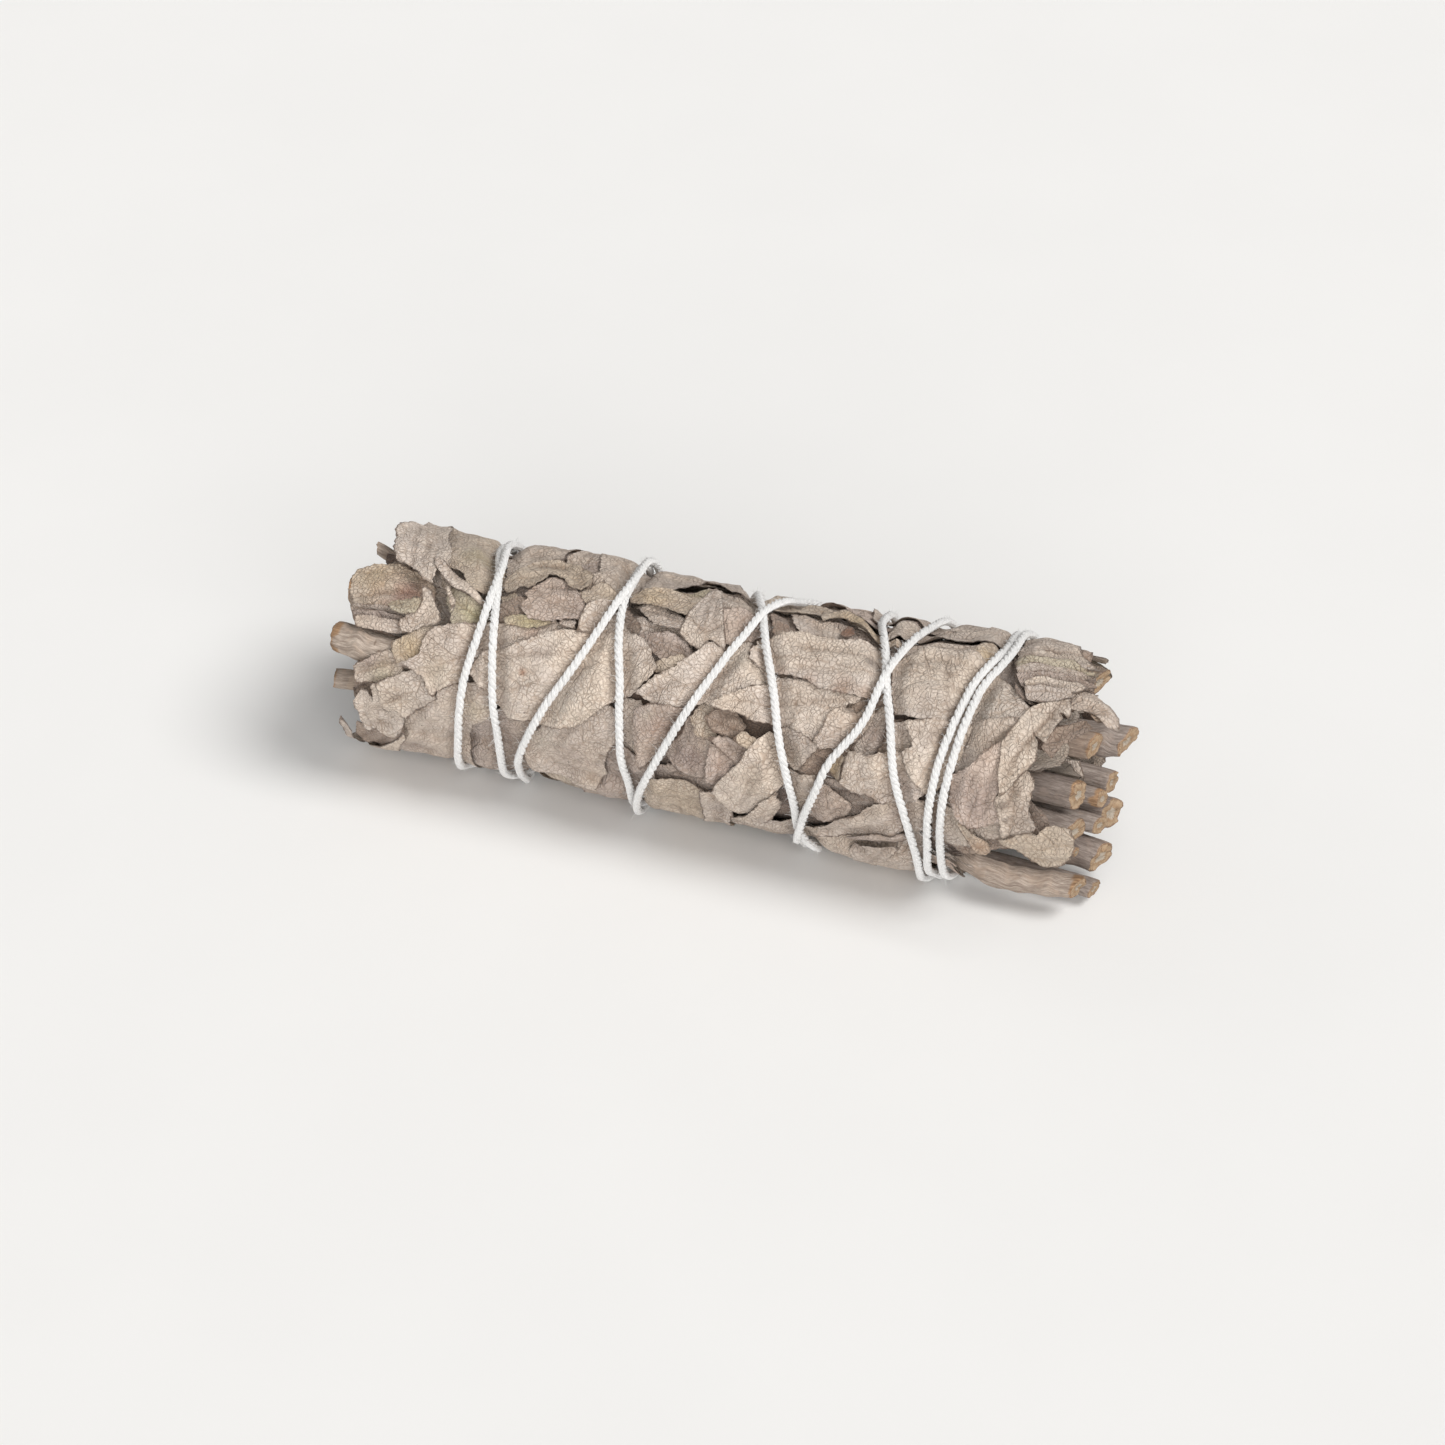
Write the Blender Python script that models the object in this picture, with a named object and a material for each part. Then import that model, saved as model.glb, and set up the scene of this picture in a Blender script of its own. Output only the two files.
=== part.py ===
"""A dried white sage smudge stick: cut stems and felted leaves laid lengthwise
in a bundle about 4 inches long, bound by one cotton thread wound down the
bundle and back up over itself.

Modelled lying down, as it rests on a table. +X runs along the bundle towards
the end where most of the cut stems show, +Z is up. All lengths below are in
millimetres and are turned into metres when a mesh is made.

The bundle's surface is written in unrolled coordinates: x along the bundle and
theta round it, in degrees. theta 0 faces -Y, 90 is the top, 180 faces +Y and
-90 is the underside. Leaves are thin curved plates on concentric shells, so
that each one is its own piece with air between it and its neighbours.
"""

import math

import bpy
from mathutils import Vector

# ---- driving dimensions, mm and degrees
AXIS_Z = 15.8          # height of the bundle's axis above the table
SHELL_R = 13.8         # outer face of the outermost leaves, at mid length
SHELL_TAPER = 0.018    # growth of that radius per mm towards the stem end
WIDE, TALL = 1.015, 0.985   # the bundle sags a little: wider than it is tall
SHELL_PITCH = 0.78     # radial step from one layer of leaves to the next
LEAF_THICK = 0.45
LEAF_EDGE = 0.26       # a leaf thins towards its margin
THREAD_D = 1.1
THREAD_GAP = 0.34      # air between thread and leaf
CROSS_RISE = 1.5       # how far a later turn rides over an earlier one
BELLY_RISE = 3.2       # how far a leaf billows between turns, before the table stops it

LEAF_COLOUR = (0.47, 0.41, 0.36, 1.0)
LEAF_COLOUR_WARM = (0.50, 0.40, 0.31, 1.0)
STEM_COLOUR = (0.24, 0.19, 0.16, 1.0)
THREAD_COLOUR = (0.86, 0.85, 0.83, 1.0)

# ---- the outermost leaves: name, base (x, theta), tip (x, theta), half width
OUTER_LEAVES = [
    ("leaf_cap_left", (-32.8, 99), (-47.0, 99), 7.2),
    ("leaf_top_1", (-31.4, 105), (-16.6, 109), 6.2),
    ("leaf_top_2", (-15.2, 112), (0.6, 112), 4.6),
    ("leaf_top_3", (19.0, 111), (2.0, 111), 4.2),
    ("leaf_top_4", (20.4, 115), (38.5, 115), 4.0),
    ("leaf_shoulder_1", (-32.0, 48), (-42.5, 42), 4.6),
    ("leaf_large_front", (-30.6, 22), (-9.2, 55), 6.0),
    ("leaf_shoulder_2", (-15.0, 82), (-3.6, 79), 2.6),
    ("leaf_shard", (-0.8, 88), (2.2, 76), 2.0),
    ("leaf_shoulder_3", (22.0, 76), (4.6, 73), 3.3),
    ("leaf_shoulder_4", (23.4, 76), (41.0, 66), 4.6),
    ("leaf_mid_1", (-8.6, 36), (6.6, 57), 3.4),
    ("leaf_mid_2", (2.2, 30), (20.0, 45), 3.0),
    ("leaf_mid_3", (32.0, 32), (19.0, 18), 3.2),
    ("leaf_mid_4", (33.6, 34), (42.5, 38), 3.4),
    ("leaf_low_1", (-33.6, 4), (-46.0, 12), 4.8),
    ("leaf_low_2", (-27.6, -22), (-46.5, -36), 4.6),
    ("leaf_low_3", (-24.4, -18), (-10.6, 8), 4.0),
    ("leaf_low_4", (-8.8, 4), (-1.4, 8), 3.6),
    ("leaf_low_5", (-7.4, -32), (3.0, -26), 3.6),
    ("leaf_low_6", (2.6, 4), (15.4, -8), 3.0),
    ("leaf_low_7", (30.6, -6), (16.6, -24), 3.4),
    ("leaf_low_8", (32.6, 4), (46.0, 6), 3.6),
    ("leaf_back_1", (-32.0, 160), (-46.0, 164), 7.0),
    ("leaf_back_2", (-30.4, 166), (-1.4, 158), 8.4),
    ("leaf_back_3", (1.0, 162), (38.5, 168), 8.2),
    ("leaf_belly_1", (-34.6, -96), (-9.4, -84), 7.2),
    ("leaf_belly_2", (-8.0, -88), (13.4, -84), 7.0),
    ("leaf_belly_3", (14.8, -90), (27.6, -90), 6.2),
]
BELLY = ("leaf_belly_1", "leaf_belly_2", "leaf_belly_3")

# ---- the layers beneath: layer, leaves round, first centre angle, x of the two rings
INNER_LAYERS = [
    (1, 3, 58.0, ((-3.0, -45.0), (-1.0, 39.5))),
    (2, 3, -2.0, ((-8.0, -44.0), (-6.0, 39.5))),
    (3, 3, 58.0, ((-42.5, 38.5),)),
]
STEM_WINDOW = (-92.0, -32.0)   # lower stems break out between these angles
STEM_WINDOW_X = 27.5

# ---- stems: name, diameter at each end, points (x, y, z above the axis)
STEMS = [
    ("stem_01", 3.3, 3.8, [(-49.6, 3.0, 10.6), (-42, 2.6, 7.9), (0, 4.6, 7.4), (36, 6.9, 6.6), (46.3, 8.6, 9.3)]),
    ("stem_02", 3.2, 4.1, [(-36, 6.4, 1.5), (0, 7.6, 0.6), (38, 8.4, -0.6), (50.2, 10.0, -1.0)]),
    ("stem_03", 3.9, 3.7, [(-50.0, -5.0, 9.5), (-42, -4.4, 6.5), (0, -1.5, 5.0), (38, 1.2, 4.4), (47.6, 2.0, 4.2)]),
    ("stem_04", 2.6, 3.0, [(-34, 1.8, 0.4), (0, 3.6, -1.6), (38, 5.4, -3.8), (49.0, 6.0, -4.5)]),
    ("stem_05", 3.4, 3.2, [(-50.6, -8.4, 4.0), (-42, -7.5, 2.6), (0, -4.0, 0.8), (36, -1.9, -0.9), (46.2, -1.5, -1.3)]),
    ("stem_06", 2.2, 2.5, [(-30, -1.6, 0.9), (0, -0.4, -1.7), (38, 1.3, -3.3), (48.7, 1.6, -3.6)]),
    ("stem_07", 3.6, 4.2, [(-38, 4.0, -5.8), (0, 4.0, -6.9), (38, 3.8, -7.7), (50.5, 3.9, -8.1)]),
    ("stem_08", 2.2, 2.6, [(-32, -0.6, -4.3), (0, -0.2, -5.3), (38, 0.1, -6.4), (49.1, 0.1, -6.9)]),
    ("stem_09", 2.8, 3.0, [(-50.8, -10.3, -1.2), (-42, -8.1, -2.0), (0, -5.5, -3.4), (38, -3.9, -4.9), (46.8, -3.7, -5.1)]),
    ("stem_10", 3.2, 3.8, [(-36, -0.8, -7.9), (0, -1.1, -8.8), (38, -1.3, -9.3), (50.3, -1.3, -10.9)]),
    ("stem_11", 2.6, 3.1, [(-28, -4.6, -6.2), (0, -5.4, -7.0), (26, -5.9, -7.6), (38, -7.1, -9.7), (49.2, -8.0, -10.8)]),
    ("stem_12", 1.8, 2.3, [(30, -4.0, -12.4), (40, -4.4, -12.9), (50.0, -4.9, -13.5)]),
    ("twig", 1.1, 1.4, [(33, -4.2, -7.6), (40, -4.2, -8.2), (47.5, -4.2, -8.6)]),
]

# ---- the thread's whole route, first turn to last: theta on this turn, x.
# Each inner list goes once round; it crosses the front rising, then goes down
# the back. Later turns lie over earlier ones.
THREAD_TURNS = [
    [(185, 24.0), (250, 27.0)],
    [(-47, 29.8), (-6, 28.2), (23, 25.9), (48, 23.9), (76, 21.4), (101, 18.6), (180, 17.6), (250, 16.0), (300, 14.5)],
    [(-23, 13.3), (12, 12.1), (38, 9.8), (64, 7.1), (88, 4.3), (113, 0.3), (180, -3.0), (250, -6.0)],
    [(-19, -8.4), (7, -9.9), (36, -10.9), (64, -12.6), (87, -13.8), (110, -14.6), (180, -17.5), (250, -22.0)],
    [(-31, -25.9), (-1, -26.8), (35, -27.7), (60, -28.9), (90, -31.5), (114, -33.4), (180, -33.9), (250, -32.6)],
    [(-40, -31.8), (0, -31.8), (33, -30.3), (60, -29.1), (90, -30.5), (118, -32.2), (180, -31.0), (250, -28.4)],
    [(-33, -25.1), (-3, -22.6), (25, -19.4), (50, -16.5), (73, -14.0), (90, -12.8), (114, -12.9), (180, -11.5), (250, -9.9)],
    [(-27, -8.1), (8, -4.9), (36, -1.8), (63, 1.5), (88, 4.5), (109, 7.3), (120, 9.7), (180, 11.2), (250, 11.5), (300, 12.3)],
    [(-28, 13.5), (10, 15.8), (37, 19.7), (60, 21.9), (80, 22.9), (109, 25.2), (180, 27.2), (250, 29.8)],
    [(-47, 31.5), (-3, 31.4), (23, 31.6), (46, 32.3), (73, 34.0), (89, 35.0), (111, 35.4), (180, 34.8), (250, 33.9)],
    [(-47, 33.3), (-3, 33.1), (23, 33.3), (46, 34.0), (73, 35.7), (89, 36.7), (111, 37.2), (150, 37.4), (195, 37.3)],
]
THREAD_SIDES = 6
THREAD_STEP = 19.0     # degrees of winding between the tube's rings

UNROLL_R = 15.0        # radius at which half widths are measured round the bundle


# ------------------------------------------------------------------ surfaces
def shell_radius(x, depth=0.0):
    return SHELL_R + SHELL_TAPER * x - depth


def on_bundle(x, theta, radius):
    """The point at this angle and polar radius, mm, with the axis at AXIS_Z."""
    a = math.radians(theta)
    return Vector((x, -radius * WIDE * math.cos(a), AXIS_Z + radius * TALL * math.sin(a)))


def smooth_step(t):
    t = min(1.0, max(0.0, t))
    return t * t * (3.0 - 2.0 * t)


def catmull(p0, p1, p2, p3, t):
    return 0.5 * (
        2.0 * p1
        + (p2 - p0) * t
        + (2.0 * p0 - 5.0 * p1 + 4.0 * p2 - p3) * t * t
        + (3.0 * p1 - p0 - 3.0 * p2 + p3) * t * t * t
    )


def interpolate(keys, values, at):
    """A smooth curve through (key, value) pairs with growing keys."""
    n = len(keys)
    if at <= keys[0]:
        return values[0]
    if at >= keys[-1]:
        return values[-1]
    i = max(j for j in range(n - 1) if keys[j] <= at)
    h = keys[i + 1] - keys[i]
    t = (at - keys[i]) / h

    def slope(j):
        if j in (0, n - 1):
            return 0.0
        return (values[j + 1] - values[j - 1]) / (keys[j + 1] - keys[j - 1])

    m0, m1 = slope(i) * h, slope(i + 1) * h
    return (
        (2 * t**3 - 3 * t**2 + 1) * values[i]
        + (t**3 - 2 * t**2 + t) * m0
        + (-2 * t**3 + 3 * t**2) * values[i + 1]
        + (t**3 - t**2) * m1
    )


# -------------------------------------------------------------------- thread
def thread_route():
    """Rings of the tube's middle line: (x, cumulative theta, lift)."""
    keys, values = [], []
    for turn, points in enumerate(THREAD_TURNS):
        for theta, x in points:
            keys.append(theta + 360.0 * (turn - 1))
            values.append(x)
    count = int(round((keys[-1] - keys[0]) / THREAD_STEP))
    samples = []
    for i in range(count + 1):
        theta = keys[0] + (keys[-1] - keys[0]) * i / count
        samples.append((interpolate(keys, values, theta), theta))
    # fine copy of the route, to find where a later turn meets an earlier one
    fine = []
    steps = count * 6
    for i in range(steps + 1):
        theta = keys[0] + (keys[-1] - keys[0]) * i / steps
        fine.append((interpolate(keys, values, theta), theta))
    need = [0.0] * len(fine)
    apart = THREAD_D + 0.3
    for j, (xj, tj) in enumerate(fine):
        for i in range(j):
            xi, ti = fine[i]
            if tj - ti < 200.0 or abs(xj - xi) > apart:
                continue
            d_theta = (tj - ti + 180.0) % 360.0 - 180.0
            round_mm = math.radians(d_theta) * UNROLL_R
            gap = math.hypot(xj - xi, round_mm)
            if gap < apart:
                need[j] = max(need[j], CROSS_RISE * math.sqrt(1.0 - (gap / (apart * 1.05)) ** 2))
    rings = []
    for k, (x, theta) in enumerate(samples):
        lift = 0.0
        for j in range(len(fine)):
            away = abs(theta - fine[j][1])
            if need[j] and away < 33.0:
                lift = max(lift, need[j] * (1.0 - smooth_step((away - 16.0) / 17.0)))
        rings.append((x, theta, lift))
    return rings, fine


THREAD_RINGS, THREAD_FINE = thread_route()


def thread_distance(x, theta):
    """Unrolled distance, mm, from a place on the bundle to the thread."""
    best = 1e9
    for xi, ti in THREAD_FINE:
        if abs(xi - x) < best:
            d_theta = (ti - theta + 180.0) % 360.0 - 180.0
            best = min(best, math.hypot(xi - x, math.radians(d_theta) * UNROLL_R))
    return best


# --------------------------------------------------------------------- meshes
def material(name, colour, roughness):
    found = bpy.data.materials.get(name)
    if found:
        return found
    made = bpy.data.materials.new(name)
    made.use_nodes = True
    shader = made.node_tree.nodes["Principled BSDF"]
    shader.inputs["Base Color"].default_value = colour
    shader.inputs["Roughness"].default_value = roughness
    shader.inputs["Metallic"].default_value = 0.0
    made.diffuse_color = colour
    return made


def add_object(name, points, faces, mat, parent, sharp=40.0):
    mesh = bpy.data.meshes.new(name)
    mesh.from_pydata([Vector(p) * 0.001 for p in points], [], faces)
    mesh.validate()
    mesh.materials.append(mat)
    mesh.shade_smooth()
    mesh.set_sharp_from_angle(angle=math.radians(sharp))
    obj = bpy.data.objects.new(name, mesh)
    bpy.context.scene.collection.objects.link(obj)
    obj.parent = parent
    return obj


def leaf_profile(u):
    """Half width along the leaf, 0 at the stalk to 1 at the tip, as a share."""
    return max(0.16, math.sin(math.pi * (0.07 + 0.85 * u ** 0.92)) ** 0.62)


def leaf_mesh(base, tip, half_width, depth, along, across, belly):
    """Points and faces of one closed leaf plate."""
    x0, s0 = base[0], math.radians(base[1]) * UNROLL_R
    x1, s1 = tip[0], math.radians(tip[1]) * UNROLL_R
    length = math.hypot(x1 - x0, s1 - s0)
    dx, ds = (x1 - x0) / length, (s1 - s0) / length
    outer, inner = [], []
    for i in range(along + 1):
        u = i / along
        w = half_width * leaf_profile(u)
        for j in range(across + 1):
            v = 2.0 * j / across - 1.0
            x = x0 + dx * length * u - ds * w * v
            s = s0 + ds * length * u + dx * w * v
            theta = math.degrees(s / UNROLL_R)
            r = shell_radius(x, depth)
            if belly:
                rise = smooth_step((thread_distance(x, theta) - 2.1) / 2.6)
                rise *= smooth_step((34.0 - abs((theta + 90.0 + 180.0) % 360.0 - 180.0)) / 16.0)
                if i in (0, along):
                    rise = 0.0
                down = -math.sin(math.radians(theta)) * TALL
                r += BELLY_RISE * rise
                if rise > 0.0 and down > 0.2:
                    r = min(r, AXIS_Z / down)
            edge = max(abs(v), abs(2.0 * u - 1.0)) ** 4
            thick = LEAF_THICK + (LEAF_EDGE - LEAF_THICK) * edge
            outer.append(on_bundle(x, theta, r))
            inner.append(on_bundle(x, theta, r - thick))
    n = across + 1
    points = outer + inner
    shift = len(outer)
    faces = []
    for i in range(along):
        for j in range(across):
            a, b, c, d = i * n + j, i * n + j + 1, (i + 1) * n + j + 1, (i + 1) * n + j
            faces.append((a, b, c, d))
            faces.append((shift + d, shift + c, shift + b, shift + a))
    rim = [j for j in range(n)]
    rim += [i * n + across for i in range(1, along + 1)]
    rim += [along * n + j for j in range(across - 1, -1, -1)]
    rim += [i * n for i in range(along - 1, 0, -1)]
    for k in range(len(rim)):
        a, b = rim[k], rim[(k + 1) % len(rim)]
        faces.append((b, a, shift + a, shift + b))
    # the outer grid faces outwards when x grows with u and theta with v
    centre = outer[(along // 2) * n + across // 2]
    e1 = outer[(along // 2) * n + across // 2 + 1] - centre
    e2 = outer[(along // 2 + 1) * n + across // 2] - centre
    out = Vector((0.0, centre.y, centre.z - AXIS_Z))
    if e1.cross(e2).dot(out) < 0.0:
        faces = [tuple(reversed(f)) for f in faces]
    return points, faces


def stem_mesh(points, d0, d1, sides=8, rings=8):
    """A tapering stem through the points, with slightly oblique cut ends."""
    path = [Vector((x, y, AXIS_Z + z)) for x, y, z in points]
    line = []
    spans = len(path) - 1
    total = sum((path[i + 1] - path[i]).length for i in range(spans))
    for i in range(spans):
        p0 = path[i - 1] if i else path[0] * 2.0 - path[1]
        p3 = path[i + 2] if i + 2 <= spans else path[-1] * 2.0 - path[-2]
        steps = max(1, round(rings * (path[i + 1] - path[i]).length / total))
        for k in range(steps):
            t = k / steps
            q = Vector([catmull(p0[c], path[i][c], path[i + 1][c], p3[c], t) for c in range(3)])
            q.x = path[i].x + (path[i + 1].x - path[i].x) * t
            line.append(q)
    line.append(path[-1])
    verts = []
    for k, q in enumerate(line):
        t = k / (len(line) - 1)
        r = 0.5 * (d0 + (d1 - d0) * t)
        slant = 0.0
        if k == 0:
            slant = 0.12
        if k == len(line) - 1:
            slant = -0.10
        for j in range(sides):
            a = 2.0 * math.pi * j / sides
            y, z = r * math.cos(a), r * math.sin(a)
            verts.append(q + Vector((slant * z, y, z)))
    faces = []
    for k in range(len(line) - 1):
        for j in range(sides):
            a, b = k * sides + j, k * sides + (j + 1) % sides
            faces.append((a, b, b + sides, a + sides))
    faces.append(tuple(range(sides))[::-1])
    faces.append(tuple((len(line) - 1) * sides + j for j in range(sides)))
    return verts, faces


def thread_mesh():
    """The whole wound thread as one tube."""
    line = []
    for x, theta, lift in THREAD_RINGS:
        line.append(on_bundle(x, theta, shell_radius(x) + THREAD_GAP + 0.5 * THREAD_D + lift))
    verts = []
    for k, q in enumerate(line):
        ahead = line[min(k + 1, len(line) - 1)] - line[max(k - 1, 0)]
        ahead.normalize()
        out = Vector((0.0, q.y, q.z - AXIS_Z)).normalized()
        side = ahead.cross(out).normalized()
        out = side.cross(ahead).normalized()
        for j in range(THREAD_SIDES):
            a = 2.0 * math.pi * (j + 0.5) / THREAD_SIDES
            verts.append(q + 0.5 * THREAD_D * (math.cos(a) * side + math.sin(a) * out))
    n = THREAD_SIDES
    faces = []
    for k in range(len(line) - 1):
        for j in range(n):
            a, b = k * n + j, k * n + (j + 1) % n
            faces.append((a, a + n, b + n, b))
    faces.append(tuple(range(n)))
    faces.append(tuple((len(line) - 1) * n + j for j in range(n))[::-1])
    return verts, faces


# ---------------------------------------------------------------------- build
def angles_meet(a0, a1, b0, b1):
    mid_a, half_a = (a0 + a1) / 2.0, (a1 - a0) / 2.0
    mid_b, half_b = (b0 + b1) / 2.0, (b1 - b0) / 2.0
    return abs((mid_a - mid_b + 180.0) % 360.0 - 180.0) < half_a + half_b


def inner_leaves():
    """Rings of leaves on each layer under the outermost."""
    for layer, round_count, first, rings in INNER_LAYERS:
        step = 360.0 / round_count
        half = math.radians(step / 2.0) * UNROLL_R - 0.9
        for ring, (x_base, x_tip) in enumerate(rings):
            for k in range(round_count):
                theta = first + step * k
                tip = x_tip
                base = x_base
                if x_tip > 0 and angles_meet(theta - step / 2, theta + step / 2, *STEM_WINDOW):
                    tip = STEM_WINDOW_X
                name = "leaf_inner_%d_%d" % (layer, ring * round_count + k + 1)
                yield name, (base, theta), (tip, theta), half, layer * SHELL_PITCH


def main():
    for obj in list(bpy.data.objects):
        bpy.data.objects.remove(obj, do_unlink=True)
    bundle = bpy.data.objects.new("smudge_stick", None)
    bpy.context.scene.collection.objects.link(bundle)

    grey = material("sage_leaf", LEAF_COLOUR, 0.9)
    warm = material("sage_leaf_warm", LEAF_COLOUR_WARM, 0.9)
    bark = material("sage_stem", STEM_COLOUR, 0.8)
    cotton = material("cotton_thread", THREAD_COLOUR, 0.85)

    made = []
    for i, (name, base, tip, half) in enumerate(OUTER_LEAVES):
        belly = name in BELLY
        length = math.hypot(tip[0] - base[0], math.radians(tip[1] - base[1]) * UNROLL_R)
        along = 13 if belly else max(5, round(length / 3.6))
        across = 6 if half > 6.5 else 4
        points, faces = leaf_mesh(base, tip, half, 0.0, along, across, belly)
        made.append(add_object(name, points, faces, (grey, warm)[i % 3 == 1], bundle))
    for name, base, tip, half, depth in inner_leaves():
        points, faces = leaf_mesh(base, tip, half, depth, 6, 8, False)
        made.append(add_object(name, points, faces, warm, bundle))
    for name, d0, d1, path in STEMS:
        points, faces = stem_mesh(path, d0, d1)
        made.append(add_object(name, points, faces, bark, bundle, 35.0))
    points, faces = thread_mesh()
    made.append(add_object("thread", points, faces, cotton, bundle, 60.0))

    # the origin is under the middle of the whole bundle, on the table
    low = Vector((1e9, 1e9, 1e9))
    high = -low
    for obj in made:
        for v in obj.data.vertices:
            for c in range(3):
                low[c] = min(low[c], v.co[c])
                high[c] = max(high[c], v.co[c])
    bundle.location = (-(low.x + high.x) / 2.0, -(low.y + high.y) / 2.0, -low.z)


main()
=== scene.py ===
"""The looks of the sage smudge stick: torn and folded felted leaves draped in
layers over one another round the bundle, ribbed stems with cut ends, and a
three-ply cotton thread. Lengths are millimetres until a mesh is made.

The bundle is unrolled: x runs along it, s = R0 * theta runs round it (theta 0
faces -Y, 90 degrees is the top). A height map over (x, s) holds the top of
what has been laid so far, so every leaf rests on those under it and the
thread presses them all down.
"""
import math
import random
import re

import bpy
import numpy as np
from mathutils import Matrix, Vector
from mathutils.geometry import delaunay_2d_cdt


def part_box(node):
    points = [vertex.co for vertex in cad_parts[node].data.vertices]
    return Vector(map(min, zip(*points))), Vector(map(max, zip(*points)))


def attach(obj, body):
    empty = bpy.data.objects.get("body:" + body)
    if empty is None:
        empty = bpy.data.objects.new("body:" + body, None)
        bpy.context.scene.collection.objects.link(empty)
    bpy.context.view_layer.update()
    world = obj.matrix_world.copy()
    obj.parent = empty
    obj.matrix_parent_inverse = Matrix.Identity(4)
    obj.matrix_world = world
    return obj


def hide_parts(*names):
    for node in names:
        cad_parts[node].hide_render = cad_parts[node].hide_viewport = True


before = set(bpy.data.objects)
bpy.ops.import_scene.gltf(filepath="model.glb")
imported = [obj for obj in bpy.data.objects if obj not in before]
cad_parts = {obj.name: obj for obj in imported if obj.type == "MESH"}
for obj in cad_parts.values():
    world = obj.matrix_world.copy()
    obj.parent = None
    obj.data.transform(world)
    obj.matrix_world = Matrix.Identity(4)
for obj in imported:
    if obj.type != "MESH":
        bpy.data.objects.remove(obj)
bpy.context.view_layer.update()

random.seed(7)
MM = 0.001
AX = (0.129, 0.314, 15.8)      # the bundle's axis in the frame, mm
WIDE, TALL = 1.01, 0.99
R0 = 15.0
THREAD_D = 1.12


def base_r(x):
    """Radius of the leaf layers' datum; the left end flares a little."""
    flare = np.clip((-37.0 - np.asarray(x, float)) / 9.0, 0.0, 1.0)
    return 13.9 + 0.018 * np.asarray(x, float) + 0.75 * flare * flare * (3 - 2 * flare)


# ------------------------------------------------------------------- camera
AZ, EL = math.radians(18.7), math.radians(40.0)
F_PX = 1445 * 100.0 / 36.0
PX_MM = 7.8
BACK = np.array([math.sin(AZ) * math.cos(EL), -math.cos(AZ) * math.cos(EL), math.sin(EL)])
RIGHT = np.array([math.cos(AZ), math.sin(AZ), 0.0])
UP = np.array([-math.sin(AZ) * math.sin(EL), math.cos(AZ) * math.sin(EL), math.cos(EL)])
# positions here are relative to the bundle's axis, so (0, 0, 0) is its middle
AIM = -RIGHT * (732 - 722.5) / PX_MM + UP * (703 - 722.5) / PX_MM
EYE = AIM + BACK * (F_PX / PX_MM)


def ray(px, py):
    d = -BACK + RIGHT * ((px - 722.5) / F_PX) - UP * ((py - 722.5) / F_PX)
    return d / np.linalg.norm(d)


def on_surface(px, py, rise=1.25):
    """Where a pixel of the photograph's frame meets the bundle: (x, s)."""
    d = ray(px, py)
    r = base_r(0.0) + rise
    for _ in range(8):
        a = (d[1] / WIDE) ** 2 + (d[2] / TALL) ** 2
        b = 2 * (EYE[1] * d[1] / WIDE**2 + EYE[2] * d[2] / TALL**2)
        c = (EYE[1] / WIDE) ** 2 + (EYE[2] / TALL) ** 2 - r * r
        disc = b * b - 4 * a * c
        t = (-b - math.sqrt(max(disc, 0.0))) / (2 * a)
        p = EYE + t * d
        r = base_r(p[0]) + rise
    theta = math.atan2(p[2] / TALL, -p[1] / WIDE)
    if disc < 0:
        # past the outline: carry on round the bundle by as much as it stands out
        over = math.hypot(p[1], p[2]) - r
        turn = math.sqrt(2 * max(over, 0.0) / r) * 0.8 + 0.16
        theta += turn if theta > 0.7 else -turn
    return float(p[0]), float(theta * R0)


def place(x, s, r):
    """Frame coordinates, mm, of arrays of unrolled coordinates and radii."""
    th = np.asarray(s) / R0
    return np.stack([np.asarray(x) + AX[0], AX[1] - r * WIDE * np.cos(th), AX[2] + r * TALL * np.sin(th)], -1)


# -------------------------------------------------------------------- noise
def _hash(ix, iy, seed):
    h = (ix.astype(np.int64) * 374761393 + iy.astype(np.int64) * 668265263 + seed * 2147483647) & 0xFFFFFFFF
    h = ((h ^ (h >> 13)) * 1274126177) & 0xFFFFFFFF
    h = ((h ^ (h >> 16)) * 2246822519) & 0xFFFFFFFF
    return ((h ^ (h >> 15)) & 0xFFFFFF) / float(0xFFFFFF)


def noise(x, y, seed=0):
    """Smooth noise from -1 to 1, one wave about every 2 units."""
    shape = np.broadcast(np.asarray(x), np.asarray(y)).shape
    x, y = np.atleast_1d(np.asarray(x, float)), np.atleast_1d(np.asarray(y, float))
    ix, iy = np.floor(x), np.floor(y)
    fx, fy = x - ix, y - iy
    fx, fy = fx * fx * fx * (fx * (fx * 6 - 15) + 10), fy * fy * fy * (fy * (fy * 6 - 15) + 10)
    ix, iy = ix.astype(np.int64), iy.astype(np.int64)
    a, b = _hash(ix, iy, seed), _hash(ix + 1, iy, seed)
    c, d = _hash(ix, iy + 1, seed), _hash(ix + 1, iy + 1, seed)
    out = 2 * (a + (b - a) * fx + (c - a) * fy + (a - b - c + d) * fx * fy) - 1
    return out.reshape(shape)


def fbm(x, y, seed=0, octaves=3, gain=0.5):
    out, amp, f = 0.0, 1.0, 1.0
    for k in range(octaves):
        out = out + amp * noise(np.asarray(x) * f + 17.3 * k, np.asarray(y) * f - 9.1 * k, seed + 31 * k)
        amp *= gain
        f *= 2.03
    return out


def smooth(t):
    t = np.clip(t, 0.0, 1.0)
    return t * t * (3 - 2 * t)


# ---------------------------------------------------------------- height map
DX = 0.25
X_LOW, X_HIGH = -58.0, 58.0
XN = int((X_HIGH - X_LOW) / DX)
SN = int(round(2 * math.pi * R0 / DX))
DS = 2 * math.pi * R0 / SN
H = np.full((XN, SN), -3.4)


INNER = [True]       # while the inner layers are being laid


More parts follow.
